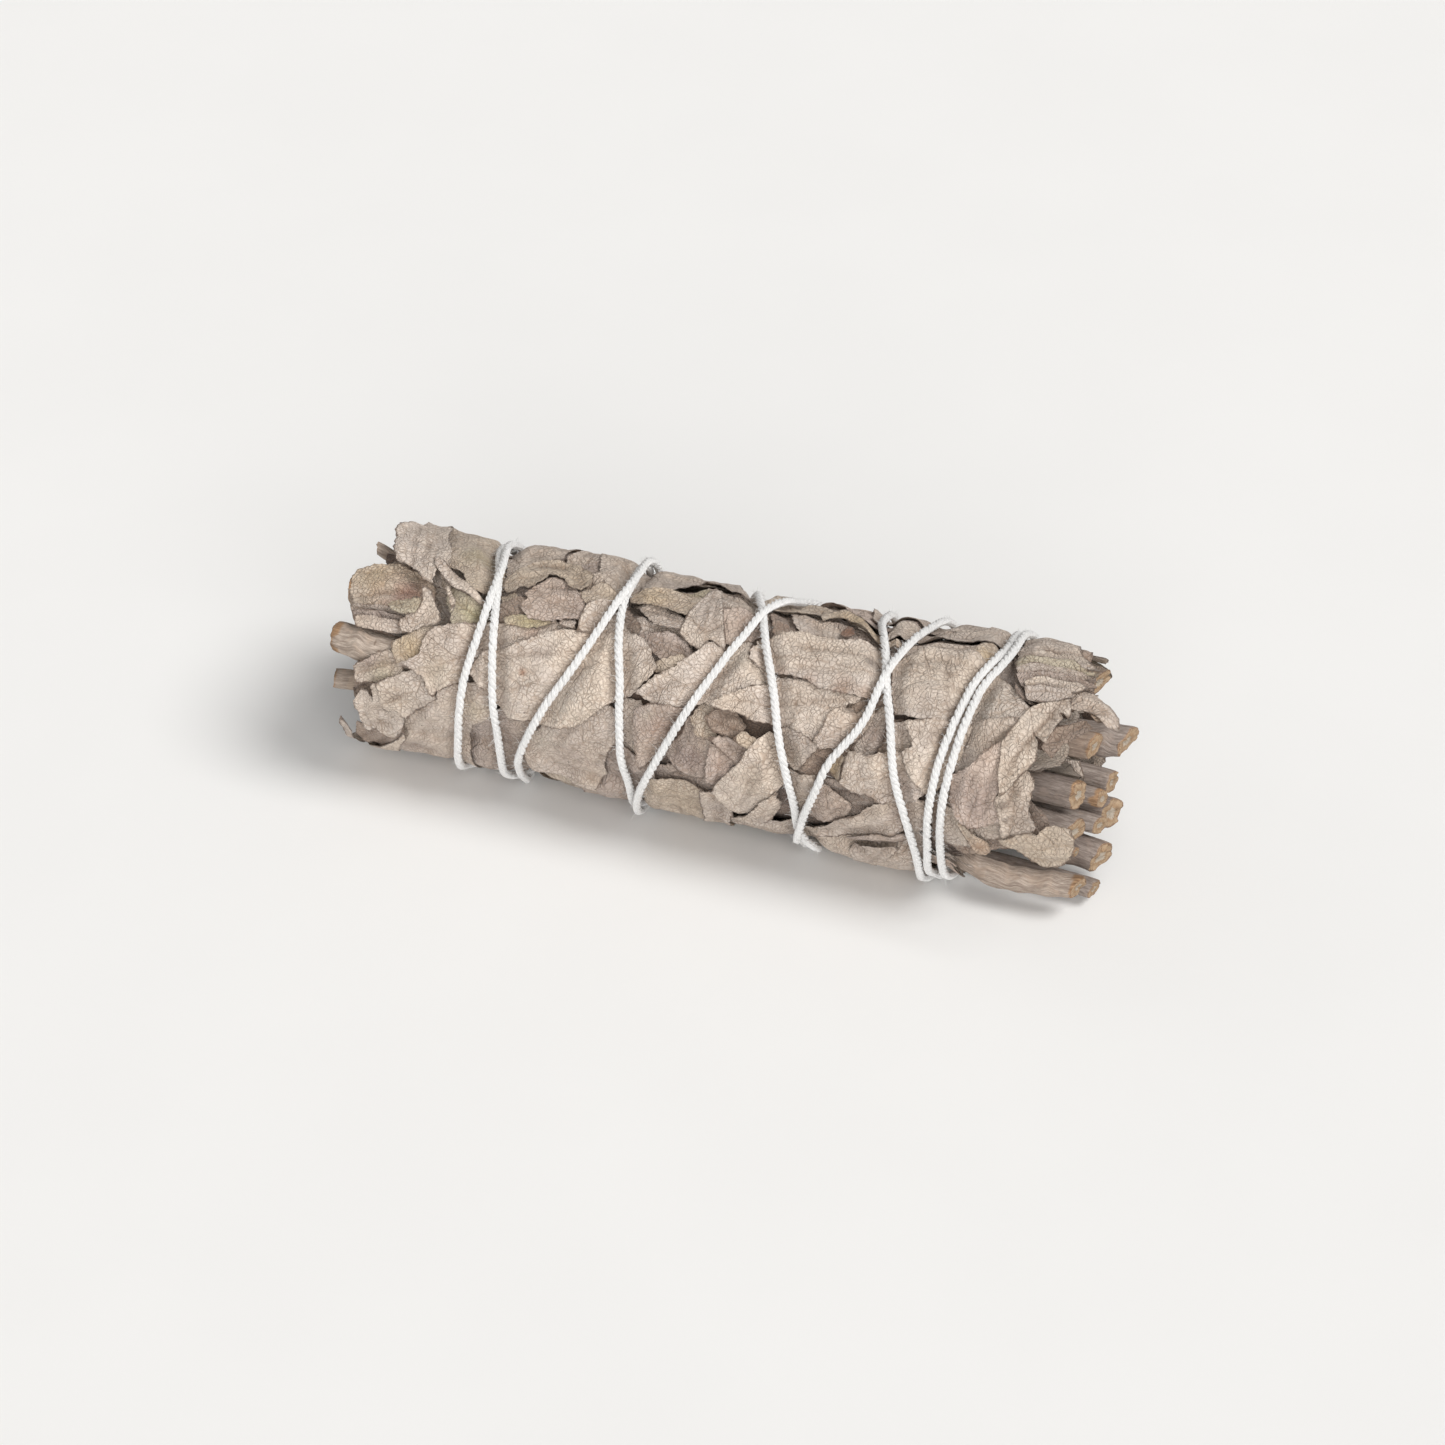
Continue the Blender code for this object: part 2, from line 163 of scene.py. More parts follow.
def packed(h, s):
    """Layers are pressed together more the higher they stand."""
    if INNER[0]:
        e = np.maximum(np.asarray(h) + 2.2, 0.0)
        return np.minimum(h, -2.2) + 1.3 * (1 - np.exp(-e / 1.9))
    th = (np.degrees(np.asarray(s) / R0) + 180) % 360 - 180
    room = 1.5 + 1.6 * smooth(1 - np.abs(th + 90) / 38.0)
    e = np.maximum(np.asarray(h) - 0.7, 0.0)
    return np.minimum(h, 0.7) + room * (1 - np.exp(-e / room))


def window(x0, x1, s0, s1):
    i0 = max(0, int((x0 - X_LOW) / DX) - 1)
    i1 = min(XN, int((x1 - X_LOW) / DX) + 2)
    j0 = int(math.floor(s0 / DS)) - 1
    j1 = int(math.floor(s1 / DS)) + 2
    i, j = np.arange(i0, i1), np.arange(j0, j1)
    return i, j, X_LOW + i * DX, j * DS


def blur(a, mm):
    n = max(1, int(round(mm / DX)))
    k = np.exp(-0.5 * (np.arange(-2 * n, 2 * n + 1) / n) ** 2)
    k /= k.sum()
    p = np.pad(a, 2 * n, mode="edge")
    p = sum(w * p[i:i + a.shape[0], :] for i, w in enumerate(k))
    return sum(w * p[:, i:i + a.shape[1]] for i, w in enumerate(k))


def swell(a, mm):
    n = max(1, int(round(mm / DX)))
    p = np.pad(a, n, mode="edge")
    q = p[:a.shape[0]].copy()
    for i in range(1, 2 * n + 1):
        q = np.maximum(q, p[i:i + a.shape[0]])
    r = q[:, :a.shape[1]].copy()
    for i in range(1, 2 * n + 1):
        r = np.maximum(r, q[:, i:i + a.shape[1]])
    return r


def bilinear(a, u, v):
    u = np.clip(u, 0, a.shape[0] - 1.001)
    v = np.clip(v, 0, a.shape[1] - 1.001)
    i, j = u.astype(int), v.astype(int)
    f, g = u - i, v - j
    return (a[i, j] * (1 - f) * (1 - g) + a[i + 1, j] * f * (1 - g) + a[i, j + 1] * (1 - f) * g + a[i + 1, j + 1] * f * g)


def line_distance(x, y, line, closed=False):
    """Distance from each place to a polyline, and the share along it."""
    best = np.full(np.shape(x), 1e9)
    along = np.zeros(np.shape(x))
    pts = list(line) + ([line[0]] if closed else [])
    total = sum(math.dist(pts[i], pts[i + 1]) for i in range(len(pts) - 1)) or 1.0
    run = 0.0
    for i in range(len(pts) - 1):
        (ax, ay), (bx, by) = pts[i], pts[i + 1]
        dx, dy = bx - ax, by - ay
        ll = dx * dx + dy * dy or 1e-12
        t = np.clip(((x - ax) * dx + (y - ay) * dy) / ll, 0, 1)
        d = np.hypot(x - ax - t * dx, y - ay - t * dy)
        near = d < best
        best = np.where(near, d, best)
        along = np.where(near, (run + t * math.sqrt(ll)) / total, along)
        run += math.sqrt(ll)
    return best, along


def inside(x, y, poly):
    hit = np.zeros(np.shape(x), bool)
    n = len(poly)
    for i in range(n):
        (x0, y0), (x1, y1) = poly[i], poly[(i + 1) % n]
        if y0 == y1:
            continue
        cross = ((y0 > y) != (y1 > y)) & (x < (x1 - x0) * (y - y0) / (y1 - y0) + x0)
        hit ^= cross
    return hit


# ------------------------------------------------------------ thread's route
# Front passes read from the photograph, pixels, bottom to top; between them
# the thread goes down the back, as (theta, x).
PASSES = [
    ([(929, 884), (923, 872), (916, 858), (910, 845), (905, 830), (901, 815), (898, 800), (895, 785), (893, 770), (892, 755), (891, 740), (890, 720), (888, 705), (886, 690), (886, 660), (885, 645), (883, 630), (882, 620)],
     [(180, 17.6), (250, 16.0), (300, 14.5)]),
    ([(798, 845), (794, 830), (792, 815), (789, 800), (786, 785), (783, 770), (780, 755), (777, 735), (775, 715), (774, 700), (772, 682), (769, 665), (766, 648), (764, 630), (763, 615), (761, 603), (756, 592), (748, 583), (738, 579)],
     [(180, -3.0), (250, -6.0)]),
    ([(634, 800), (626, 783), (621, 770), (618, 755), (618, 740), (617, 720), (617, 705), (618, 690), (618, 650), (619, 630), (621, 615), (623, 603), (628, 592), (634, 580), (641, 568), (648, 558)],
     [(180, -17.5), (250, -22.0)]),
    ([(512, 776), (505, 768), (500, 758), (496, 745), (493, 730), (491, 715), (490, 700), (490, 680), (491, 660), (493, 640), (495, 620), (496, 605), (497, 590), (498, 575), (499, 560), (500, 548), (502, 539)],
     [(180, -33.9), (250, -32.6)]),
    ([(474, 775), (468, 770), (462, 757), (458, 742), (456, 727), (457, 712), (459, 693), (463, 675), (468, 658), (474, 642), (480, 627), (486, 612), (492, 598), (497, 585), (502, 570), (505, 555), (508, 545), (511, 537)],
     [(180, -31.0), (250, -28.4)]),
    ([(515, 777), (517, 765), (521, 750), (527, 737), (534, 723), (542, 709), (551, 695), (561, 681), (571, 667), (581, 653), (591, 640), (601, 627), (611, 615), (621, 603), (630, 592), (637, 580), (645, 570), (652, 562), (658, 557)],
     [(180, -11.5), (250, -9.9)]),
    ([(634, 802), (640, 790), (648, 775), (656, 761), (664, 747), (672, 733), (681, 719), (690, 705), (699, 691), (708, 678), (718, 665), (728, 652), (739, 640), (750, 629), (760, 620), (770, 612), (782, 604), (795, 599), (808, 597), (820, 598)],
     [(180, 11.2), (250, 11.5), (300, 12.3)]),
    ([(797, 846), (799, 830), (804, 815), (811, 800), (818, 785), (823, 770), (828, 762), (836, 753), (845, 744), (855, 733), (864, 720), (870, 707), (876, 694), (882, 682), (888, 672), (895, 660), (903, 648), (911, 639), (921, 630), (932, 624), (944, 623)],
     [(180, 27.2), (250, 29.6)]),
    ([(931, 887), (928, 870), (926, 855), (925, 840), (926, 820), (929, 800), (933, 780), (938, 760), (946, 740), (953, 722), (963, 700), (973, 680), (988, 665), (1003, 650), (1017, 636)],
     [(180, 34.8), (250, 33.6)]),
    ([(944, 891), (940, 868), (938, 850), (938, 835), (939, 815), (942, 798), (946, 780), (952, 760), (958, 740), (965, 722), (974, 700), (984, 680), (998, 667), (1013, 652), (1028, 638)],
     [(160, 37.3), (200, 37.0)]),
]


def thread_path():
    """The route as dense samples of (x, cumulative s)."""
    keys, values = [185 - 360.0, 250 - 360.0], [24.5, 27.0]
    for turn, (front, back) in enumerate(PASSES):
        last = -1e9
        for px, py in front:
            x, s = on_surface(px, py, 1.1)
            th = math.degrees(s / R0)
            if th < last + 2.5:
                continue
            last = th
            keys.append(th + 360.0 * turn)
            values.append(x)
        for th, x in back:
            keys.append(th + 360.0 * turn)
            values.append(x)
    keys, values = np.array(keys), np.array(values)
    order = np.argsort(keys)
    keys, values = keys[order], values[order]
    # Hermite curve through the points, then a light smoothing
    slope = np.gradient(values, keys)
    at = np.arange(keys[0], keys[-1], 1.0)
    i = np.clip(np.searchsorted(keys, at, side="right") - 1, 0, len(keys) - 2)
    h = keys[i + 1] - keys[i]
    t = (at - keys[i]) / h
    x = ((2 * t**3 - 3 * t**2 + 1) * values[i] + (t**3 - 2 * t**2 + t) * slope[i] * h
         + (-2 * t**3 + 3 * t**2) * values[i + 1] + (t**3 - t**2) * slope[i + 1] * h)
    k = np.exp(-0.5 * (np.arange(-14, 15) / 5.0) ** 2)
    k /= k.sum()
    x = np.convolve(np.pad(x, 14, mode="edge"), k, mode="valid")
    k = np.exp(-0.5 * (np.arange(-66, 67) / 24.0) ** 2)
    k /= k.sum()
    wide = np.convolve(np.pad(x, 66, mode="edge"), k, mode="valid")
    turn = at % 360
    share = smooth((turn - 106) / 36.0) * smooth((302 - turn) / 30.0)
    x = x + (wide - x) * share
    return x, np.radians(at) * R0


T_X, T_S = thread_path()


def thread_field():
    """Distance from every cell of the height map to the thread."""
    d = np.full((XN, SN), 9.0)
    reach = int(5.0 / DX)
    off = np.arange(-reach, reach + 1)
    for x, s in zip(T_X, T_S):
        i0, j0 = int(round((x - X_LOW) / DX)), int(round(s / DS))
        i, j = i0 + off, (j0 + off)
        dist = np.hypot((X_LOW + i * DX - x)[:, None], (j * DS - s)[None, :])
        ok = (i >= 0) & (i < XN)
        sub = np.ix_(i[ok], j % SN)
        d[sub] = np.minimum(d[sub], dist[ok])
    return d


T_FIELD = thread_field()


# ---------------------------------------------------------------- materials
def new_material(name):
    mat = bpy.data.materials.new(name)
    mat.use_nodes = True
    nt = mat.node_tree
    return mat, nt, nt.nodes["Principled BSDF"]


class Nodes:
    """Short spellings for building a node tree."""

    def __init__(self, tree):
        self.t = tree

    def add(self, kind, **values):
        n = self.t.nodes.new(kind)
        for k, v in values.items():
            setattr(n, k, v)
        return n

    def link(self, a, b):
        self.t.links.new(a, b)

    def attr(self, name):
        return self.add("ShaderNodeAttribute", attribute_name=name)

    def math(self, op, a, b=None, clamp=False):
        n = self.add("ShaderNodeMath", operation=op, use_clamp=clamp)
        for k, v in enumerate((a, b)):
            if v is None:
                continue
            if isinstance(v, (int, float)):
                n.inputs[k].default_value = v
            else:
                self.link(v, n.inputs[k])
        return n.outputs[0]

    def noise(self, vec, scale, detail=2.0, rough=0.5, distort=0.0):
        n = self.add("ShaderNodeTexNoise")
        n.inputs["Scale"].default_value = scale
        n.inputs["Detail"].default_value = detail
        n.inputs["Roughness"].default_value = rough
        n.inputs["Distortion"].default_value = distort
        self.link(vec, n.inputs["Vector"])
        return n.outputs["Fac"]

    def step(self, value, low, high, to=(0.0, 1.0)):
        n = self.add("ShaderNodeMapRange", interpolation_type="SMOOTHSTEP")
        self.link(value, n.inputs["Value"])
        n.inputs["From Min"].default_value = low
        n.inputs["From Max"].default_value = high
        n.inputs["To Min"].default_value = to[0]
        n.inputs["To Max"].default_value = to[1]
        return n.outputs["Result"]

    def mix(self, fac, a, b, kind="MIX"):
        n = self.add("ShaderNodeMix", data_type="RGBA", blend_type=kind)
        if isinstance(fac, (int, float)):
            n.inputs[0].default_value = fac
        else:
            self.link(fac, n.inputs[0])
        for k, v in ((6, a), (7, b)):
            if isinstance(v, tuple):
                n.inputs[k].default_value = (*v, 1.0)
            else:
                self.link(v, n.inputs[k])
        return n.outputs[2]

    def veins(self, vec, scale, wide):
        """Lines between cells: 1 on the line, 0 inside a cell."""
        n = self.add("ShaderNodeTexVoronoi", feature="DISTANCE_TO_EDGE")
        n.inputs["Scale"].default_value = scale
        self.link(vec, n.inputs["Vector"])
        return self.step(n.outputs["Distance"], 0.0, wide, (1.0, 0.0))

    def warped(self, vec, scale, amount):
        n = self.add("ShaderNodeTexNoise")
        n.inputs["Scale"].default_value = scale
        n.inputs["Detail"].default_value = 2.0
        self.link(vec, n.inputs["Vector"])
        m = self.add("ShaderNodeVectorMath", operation="MULTIPLY_ADD")
        self.link(n.outputs["Color"], m.inputs[0])
        m.inputs[1].default_value = (amount, amount, 0.0)
        self.link(vec, m.inputs[2])
        return m.outputs[0]

    def bump(self, height, strength, distance):
        n = self.add("ShaderNodeBump")
        n.inputs["Strength"].default_value = strength
        n.inputs["Distance"].default_value = distance
        self.link(height, n.inputs["Height"])
        return n


def leaf_material():
    """Felted leaf: fine net of veins, mottling, stains and thin brown margins.
    Attributes: leafco is (along, across, seed) in mm, tint is the leaf's own
    colour with painted shade in hollows, along sharp folds, on the inner layers and in one hole, rim is the distance to
    the margin in mm."""
    mat, nt, shader = new_material("sage_leaf_felt")
    n = Nodes(nt)
    co = n.attr("leafco").outputs["Vector"]
    tint = n.attr("tint").outputs["Color"]
    rim = n.attr("rim").outputs["Fac"]
    warp = n.warped(co, 0.55, 1.3)
    big = n.noise(co, 0.11, 3.0, 0.55)
    mid = n.noise(co, 0.6, 4.0, 0.6)
    felt = n.noise(co, 5.5, 3.0, 0.65)
    fine_v = n.veins(warp, 1.75, 0.16)
    wide_v = n.veins(n.warped(co, 0.3, 2.6), 0.42, 0.055)
    where = n.step(n.noise(co, 0.28, 2.0), 0.36, 0.62)
    col = n.mix(n.step(big, 0.35, 0.65), (0.93, 0.93, 0.95), (1.05, 1.02, 0.97))
    col = n.mix(n.math("MULTIPLY", n.step(mid, 0.46, 0.72), 0.30), col, (0.80, 0.74, 0.70))
    col = n.mix(n.math("MULTIPLY", n.step(mid, 0.55, 0.30), 0.30), col, (1.16, 1.13, 1.09))
    col = n.mix(n.math("MULTIPLY", n.step(felt, 0.30, 0.50, (1.0, 0.0)), 0.30), col, (0.74, 0.69, 0.65))
    col = n.mix(n.math("MULTIPLY", n.step(felt, 0.55, 0.72), 0.28), col, (1.22, 1.20, 1.17))
    grain = n.noise(co, 2.6, 3.0, 0.7)
    col = n.mix(n.math("MULTIPLY", n.step(grain, 0.50, 0.34), 0.28), col, (0.70, 0.63, 0.57))
    col = n.mix(n.math("MULTIPLY", n.step(grain, 0.52, 0.68), 0.30), col, (1.20, 1.18, 1.15))
    col = n.mix(n.math("MULTIPLY", fine_v, n.math("ADD", n.math("MULTIPLY", where, 0.42), 0.27)), col, (0.62, 0.53, 0.46))
    col = n.mix(n.math("MULTIPLY", wide_v, 0.16), col, (0.64, 0.54, 0.46))
    # the midrib and the side veins that leave it
    bent = n.add("ShaderNodeSeparateXYZ")
    n.link(n.warped(co, 0.16, 2.2), bent.inputs[0])
    off_rib = n.math("ABSOLUTE", n.math("SUBTRACT", bent.outputs[1], 1.1))
    run = n.math("MULTIPLY", n.math("SUBTRACT", bent.outputs[0], n.math("MULTIPLY", off_rib, 0.85)), 0.36)
    saw = n.math("ABSOLUTE", n.math("SUBTRACT", n.math("FRACT", run), 0.5))
    side_v = n.step(saw, 0.0, 0.075, (1.0, 0.0))
    rib = n.step(off_rib, 0.05, 0.26, (1.0, 0.0))
    seen = n.step(n.noise(co, 0.21, 2.0), 0.36, 0.54)
    side_v = n.math("MULTIPLY", side_v, seen)
    col = n.mix(n.math("MULTIPLY", side_v, 0.50), col, (0.58, 0.49, 0.42))
    col = n.mix(n.math("MULTIPLY", n.math("MULTIPLY", rib, seen), 0.45), col, (0.60, 0.51, 0.44))
    col = n.mix(1.0, tint, col, "MULTIPLY")
    # warm stains and small dark specks
    stain = n.step(n.noise(co, 0.33, 3.0, 0.6), 0.60, 0.74)
    col = n.mix(n.math("MULTIPLY", stain, 0.28), col, (0.42, 0.29, 0.20))
    speck = n.step(n.noise(co, 2.3, 1.0), 0.735, 0.78)
    col = n.mix(n.math("MULTIPLY", speck, 0.75), col, (0.13, 0.09, 0.07))
    # the margin is browner, in a broken line
    broken = n.step(n.noise(co, 0.33, 2.0), 0.40, 0.58)
    edge = n.step(n.math("ADD", rim, n.math("MULTIPLY", n.noise(co, 1.3, 3.0), 0.50)), 0.28, 0.50, (1.0, 0.0))
    edge = n.math("MULTIPLY", edge, n.math("ADD", n.math("MULTIPLY", broken, 0.72), 0.14))
    col = n.mix(edge, col, (0.135, 0.088, 0.062))
    n.link(col, shader.inputs["Base Color"])
    shader.inputs["Roughness"].default_value = 0.88
    shader.inputs["Specular IOR Level"].default_value = 0.22
    shader.inputs["Sheen Weight"].default_value = 0.18
    shader.inputs["Sheen Roughness"].default_value = 0.55
    rough = n.math("ADD", n.math("MULTIPLY", felt, 0.7), n.math("MULTIPLY", mid, 1.1))
    height = n.math("SUBTRACT", rough, n.math("MULTIPLY", fine_v, 0.50))
    height = n.math("SUBTRACT", height, n.math("MULTIPLY", wide_v, 0.45))
    height = n.math("SUBTRACT", height, n.math("MULTIPLY", side_v, 0.50))
    crease = n.noise(co, 1.1, 3.0, 0.6, 0.8)
    height = n.math("ADD", height, n.math("MULTIPLY", crease, 0.75))
    height = n.math("ADD", height, n.math("MULTIPLY", grain, 0.8))
    b = n.bump(height, 0.85, 0.0003)
    n.link(b.outputs[0], shader.inputs["Normal"])
    return mat


def stem_material():
    """Bark ribbed lengthwise. stemco is (along, round, seed) in mm."""
    mat, nt, shader = new_material("sage_stem_bark")
    n = Nodes(nt)
    co = n.attr("stemco").outputs["Vector"]
    tint = n.attr("tint").outputs["Color"]
    m = n.add("ShaderNodeMapping")
    m.inputs["Scale"].default_value = (0.11, 1.0, 1.0)
    n.link(co, m.inputs["Vector"])
    rib = n.noise(m.outputs[0], 3.6, 4.0, 0.62, 0.25)
    fine = n.noise(m.outputs[0], 9.0, 3.0, 0.6)
    patch = n.noise(co, 0.45, 3.0, 0.6)
    col = n.mix(n.step(rib, 0.34, 0.66), (0.62, 0.57, 0.54), (1.18, 1.14, 1.10))
    col = n.mix(n.math("MULTIPLY", n.step(fine, 0.60, 0.42), 0.45), col, (0.48, 0.42, 0.38))
    col = n.mix(n.math("MULTIPLY", n.step(patch, 0.50, 0.68), 0.5), col, (1.16, 1.03, 0.92))
    ring = n.add("ShaderNodeMapping")
    ring.inputs["Scale"].default_value = (1.0, 0.22, 1.0)
    n.link(co, ring.inputs["Vector"])
    scar = n.step(n.noise(ring.outputs[0], 0.95, 2.0), 0.70, 0.745)
    col = n.mix(n.math("MULTIPLY", scar, 0.6), col, (0.30, 0.22, 0.17))
    col = n.mix(1.0, tint, col, "MULTIPLY")
    n.link(col, shader.inputs["Base Color"])
    shader.inputs["Roughness"].default_value = 0.74
    shader.inputs["Specular IOR Level"].default_value = 0.3
    b = n.bump(n.math("ADD", rib, n.math("MULTIPLY", fine, 0.6)), 0.7, 0.00035)
    n.link(b.outputs[0], shader.inputs["Normal"])
    return mat


def cut_material():
    """Cut wood: bark ring, orange-tan wood with rays, pale pith. cutco is
    (share of the radius, angle, seed)."""
    mat, nt, shader = new_material("sage_stem_cut")
    n = Nodes(nt)
    co = n.attr("cutco").outputs["Vector"]
    sep = n.add("ShaderNodeSeparateXYZ")
    n.link(co, sep.inputs[0])
    m = n.add("ShaderNodeMapping")
    m.inputs["Scale"].default_value = (1.2, 3.0, 1.0)
    n.link(co, m.inputs["Vector"])
    rays = n.noise(m.outputs[0], 2.6, 4.0, 0.65)
    wob = n.math("ADD", sep.outputs[0], n.math("MULTIPLY", n.math("SUBTRACT", rays, 0.5), 0.46))
    col = n.mix(n.step(wob, 0.30, 0.44), (0.54, 0.47, 0.385), (0.38, 0.255, 0.155))
    col = n.mix(n.step(wob, 0.52, 0.72), col, (0.44, 0.315, 0.205))
    col = n.mix(n.step(wob, 0.89, 0.98), col, (0.26, 0.17, 0.11))
    col = n.mix(n.math("MULTIPLY", n.step(rays, 0.50, 0.66), 0.7), col, (0.20, 0.12, 0.07))
    col = n.mix(n.math("MULTIPLY", n.step(rays, 0.42, 0.30), 0.4), col, (0.60, 0.50, 0.38))
    n.link(col, shader.inputs["Base Color"])
    shader.inputs["Roughness"].default_value = 0.8
    shader.inputs["Specular IOR Level"].default_value = 0.25
    b = n.bump(rays, 0.8, 0.0004)
    n.link(b.outputs[0], shader.inputs["Normal"])
    return mat


def cotton_material():
    """Off-white cotton ply. plyco is (along, round, seed) in mm."""
    mat, nt, shader = new_material("cotton_thread")
    n = Nodes(nt)
    co = n.attr("plyco").outputs["Vector"]
    m = n.add("ShaderNodeMapping")
    m.inputs["Scale"].default_value = (0.35, 1.0, 1.0)
    n.link(co, m.inputs["Vector"])
    hair = n.noise(m.outputs[0], 9.0, 3.0, 0.6)
    slow = n.noise(co, 0.5, 2.0)
    col = n.mix(n.step(hair, 0.3, 0.7), (0.65, 0.642, 0.632), (0.87, 0.865, 0.858))
    col = n.mix(n.math("MULTIPLY", n.step(slow, 0.5, 0.75), 0.35), col, (0.74, 0.725, 0.70))
    n.link(col, shader.inputs["Base Color"])
    shader.inputs["Roughness"].default_value = 0.85
    shader.inputs["Specular IOR Level"].default_value = 0.2
    shader.inputs["Sheen Weight"].default_value = 0.25
    b = n.bump(hair, 0.5, 0.00012)
    n.link(b.outputs[0], shader.inputs["Normal"])
    return mat


LEAF = leaf_material()
BARK = stem_material()
CUT = cut_material()
COTTON = cotton_material()


# ----------------------------------------------------------- mesh collecting
class Piece:
    """Gathers vertices, faces and attributes of one object."""

    def __init__(self, name, slot, mats, coname):
        self.name, self.slot, self.mats, self.coname = name, slot, mats, coname
        self.v, self.f, self.m = [], [], []
        self.co, self.tint, self.rim, self.cut = [], [], [], []
        self.n = 0
        self.nodes = []

    def add(self, v, f, co, tint, rim=None, mat=0, cut=None):
        k = len(v)
        self.v.append(np.asarray(v, float))
        self.f.extend([tuple(i + self.n for i in face) for face in f])
        self.m.extend([mat] * len(f))
        self.co.append(np.asarray(co, float))
        self.tint.append(np.broadcast_to(np.asarray(tint, float), (k, 3)))
        self.rim.append(np.full(k, 9.0) if rim is None else np.asarray(rim, float))
        self.cut.append(np.zeros((k, 3)) if cut is None else np.asarray(cut, float))
        self.n += k

    def make(self):
        mesh = bpy.data.meshes.new(self.name)
        v = np.concatenate(self.v) * MM
        mesh.from_pydata(v.tolist(), [], self.f)
        for m in self.mats:
            mesh.materials.append(m)
        if len(self.mats) > 1:
            mesh.polygons.foreach_set("material_index", self.m)
        a = mesh.attributes.new(self.coname, "FLOAT_VECTOR", "POINT")
        a.data.foreach_set("vector", np.concatenate(self.co).astype(np.float32).ravel())
        t = np.concatenate(self.tint)
        a = mesh.attributes.new("tint", "FLOAT_COLOR", "POINT")
        a.data.foreach_set("color", np.concatenate([t, np.ones((len(t), 1))], 1).astype(np.float32).ravel())
        if self.coname == "leafco":
            a = mesh.attributes.new("rim", "FLOAT", "POINT")
            a.data.foreach_set("value", np.concatenate(self.rim).astype(np.float32))
        if len(self.mats) > 1:
            a = mesh.attributes.new("cutco", "FLOAT_VECTOR", "POINT")
            a.data.foreach_set("vector", np.concatenate(self.cut).astype(np.float32).ravel())
        mesh.shade_smooth()
        mesh.set_sharp_from_angle(angle=math.radians(50))
        mesh.update()
        obj = bpy.data.objects.new(self.name, mesh)
        bpy.context.scene.collection.objects.link(obj)
        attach(obj, "root")
        if self.nodes:
            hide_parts(*self.nodes)
        return obj


PIECES = {}


def leaf_piece(name, *nodes):
    if name not in PIECES:
        PIECES[name] = Piece(name, "leaf", [LEAF], "leafco")
    PIECES[name].nodes.extend(nodes)
    return PIECES[name]


# -------------------------------------------------------------------- leaves
GAP = 0.13          # air left between one leaf and the next, mm
THICK = 0.20

TONES = {
    "grey": (0.668, 0.577, 0.503),
    "pale": (0.724, 0.633, 0.553),
    "tan": (0.651, 0.551, 0.448),
    "olive": (0.623, 0.552, 0.425),
    "mauve": (0.562, 0.469, 0.410),
    "brown": (0.402, 0.315, 0.258),
    "pink": (0.669, 0.555, 0.485),
}


def ragged(poly, seed, crenate=0.09, torn=0.16, step=0.34):
    """A drawn outline made into a leaf's own margin."""
    pts = [np.array(p, float) for p in poly]
    cut = []
    for i in range(len(pts)):
        a, b = pts[i], pts[(i + 1) % len(pts)]
        cut += [a * 0.91 + b * 0.09, a * 0.09 + b * 0.91]
    out, run = [], 0.0
    n = len(cut)
    for i in range(n):
        a, b = cut[i], cut[(i + 1) % n]
        length = float(np.hypot(*(b - a)))
        k = max(1, int(round(length / step)))
        nx, ny = (b - a)[1], -(b - a)[0]
        nl = math.hypot(nx, ny) or 1.0
        for j in range(k):
            t = j / k
            p = a + (b - a) * t
            r = run + length * t
            d = torn * float(fbm(r * 0.45, seed * 3.7, seed, 3)) + crenate * (abs(math.sin(r * 2.9 + seed)) * 2 - 1)
            out.append((p[0] + nx / nl * d, p[1] + ny / nl * d))
        run += length
    return out


def grown(poly, by):
    area = sum(poly[i][0] * poly[(i + 1) % len(poly)][1] - poly[(i + 1) % len(poly)][0] * poly[i][1] for i in range(len(poly)))
    sign = 1.0 if area > 0 else -1.0
    out = []
    n = len(poly)
    for i in range(n):
        (x0, y0), (x1, y1), (x2, y2) = poly[i - 1], poly[i], poly[(i + 1) % n]
        nx, ny = (y2 - y0) * sign, -(x2 - x0) * sign
        l = math.hypot(nx, ny) or 1.0
        out.append((x1 + nx / l * by, y1 + ny / l * by))
    return out


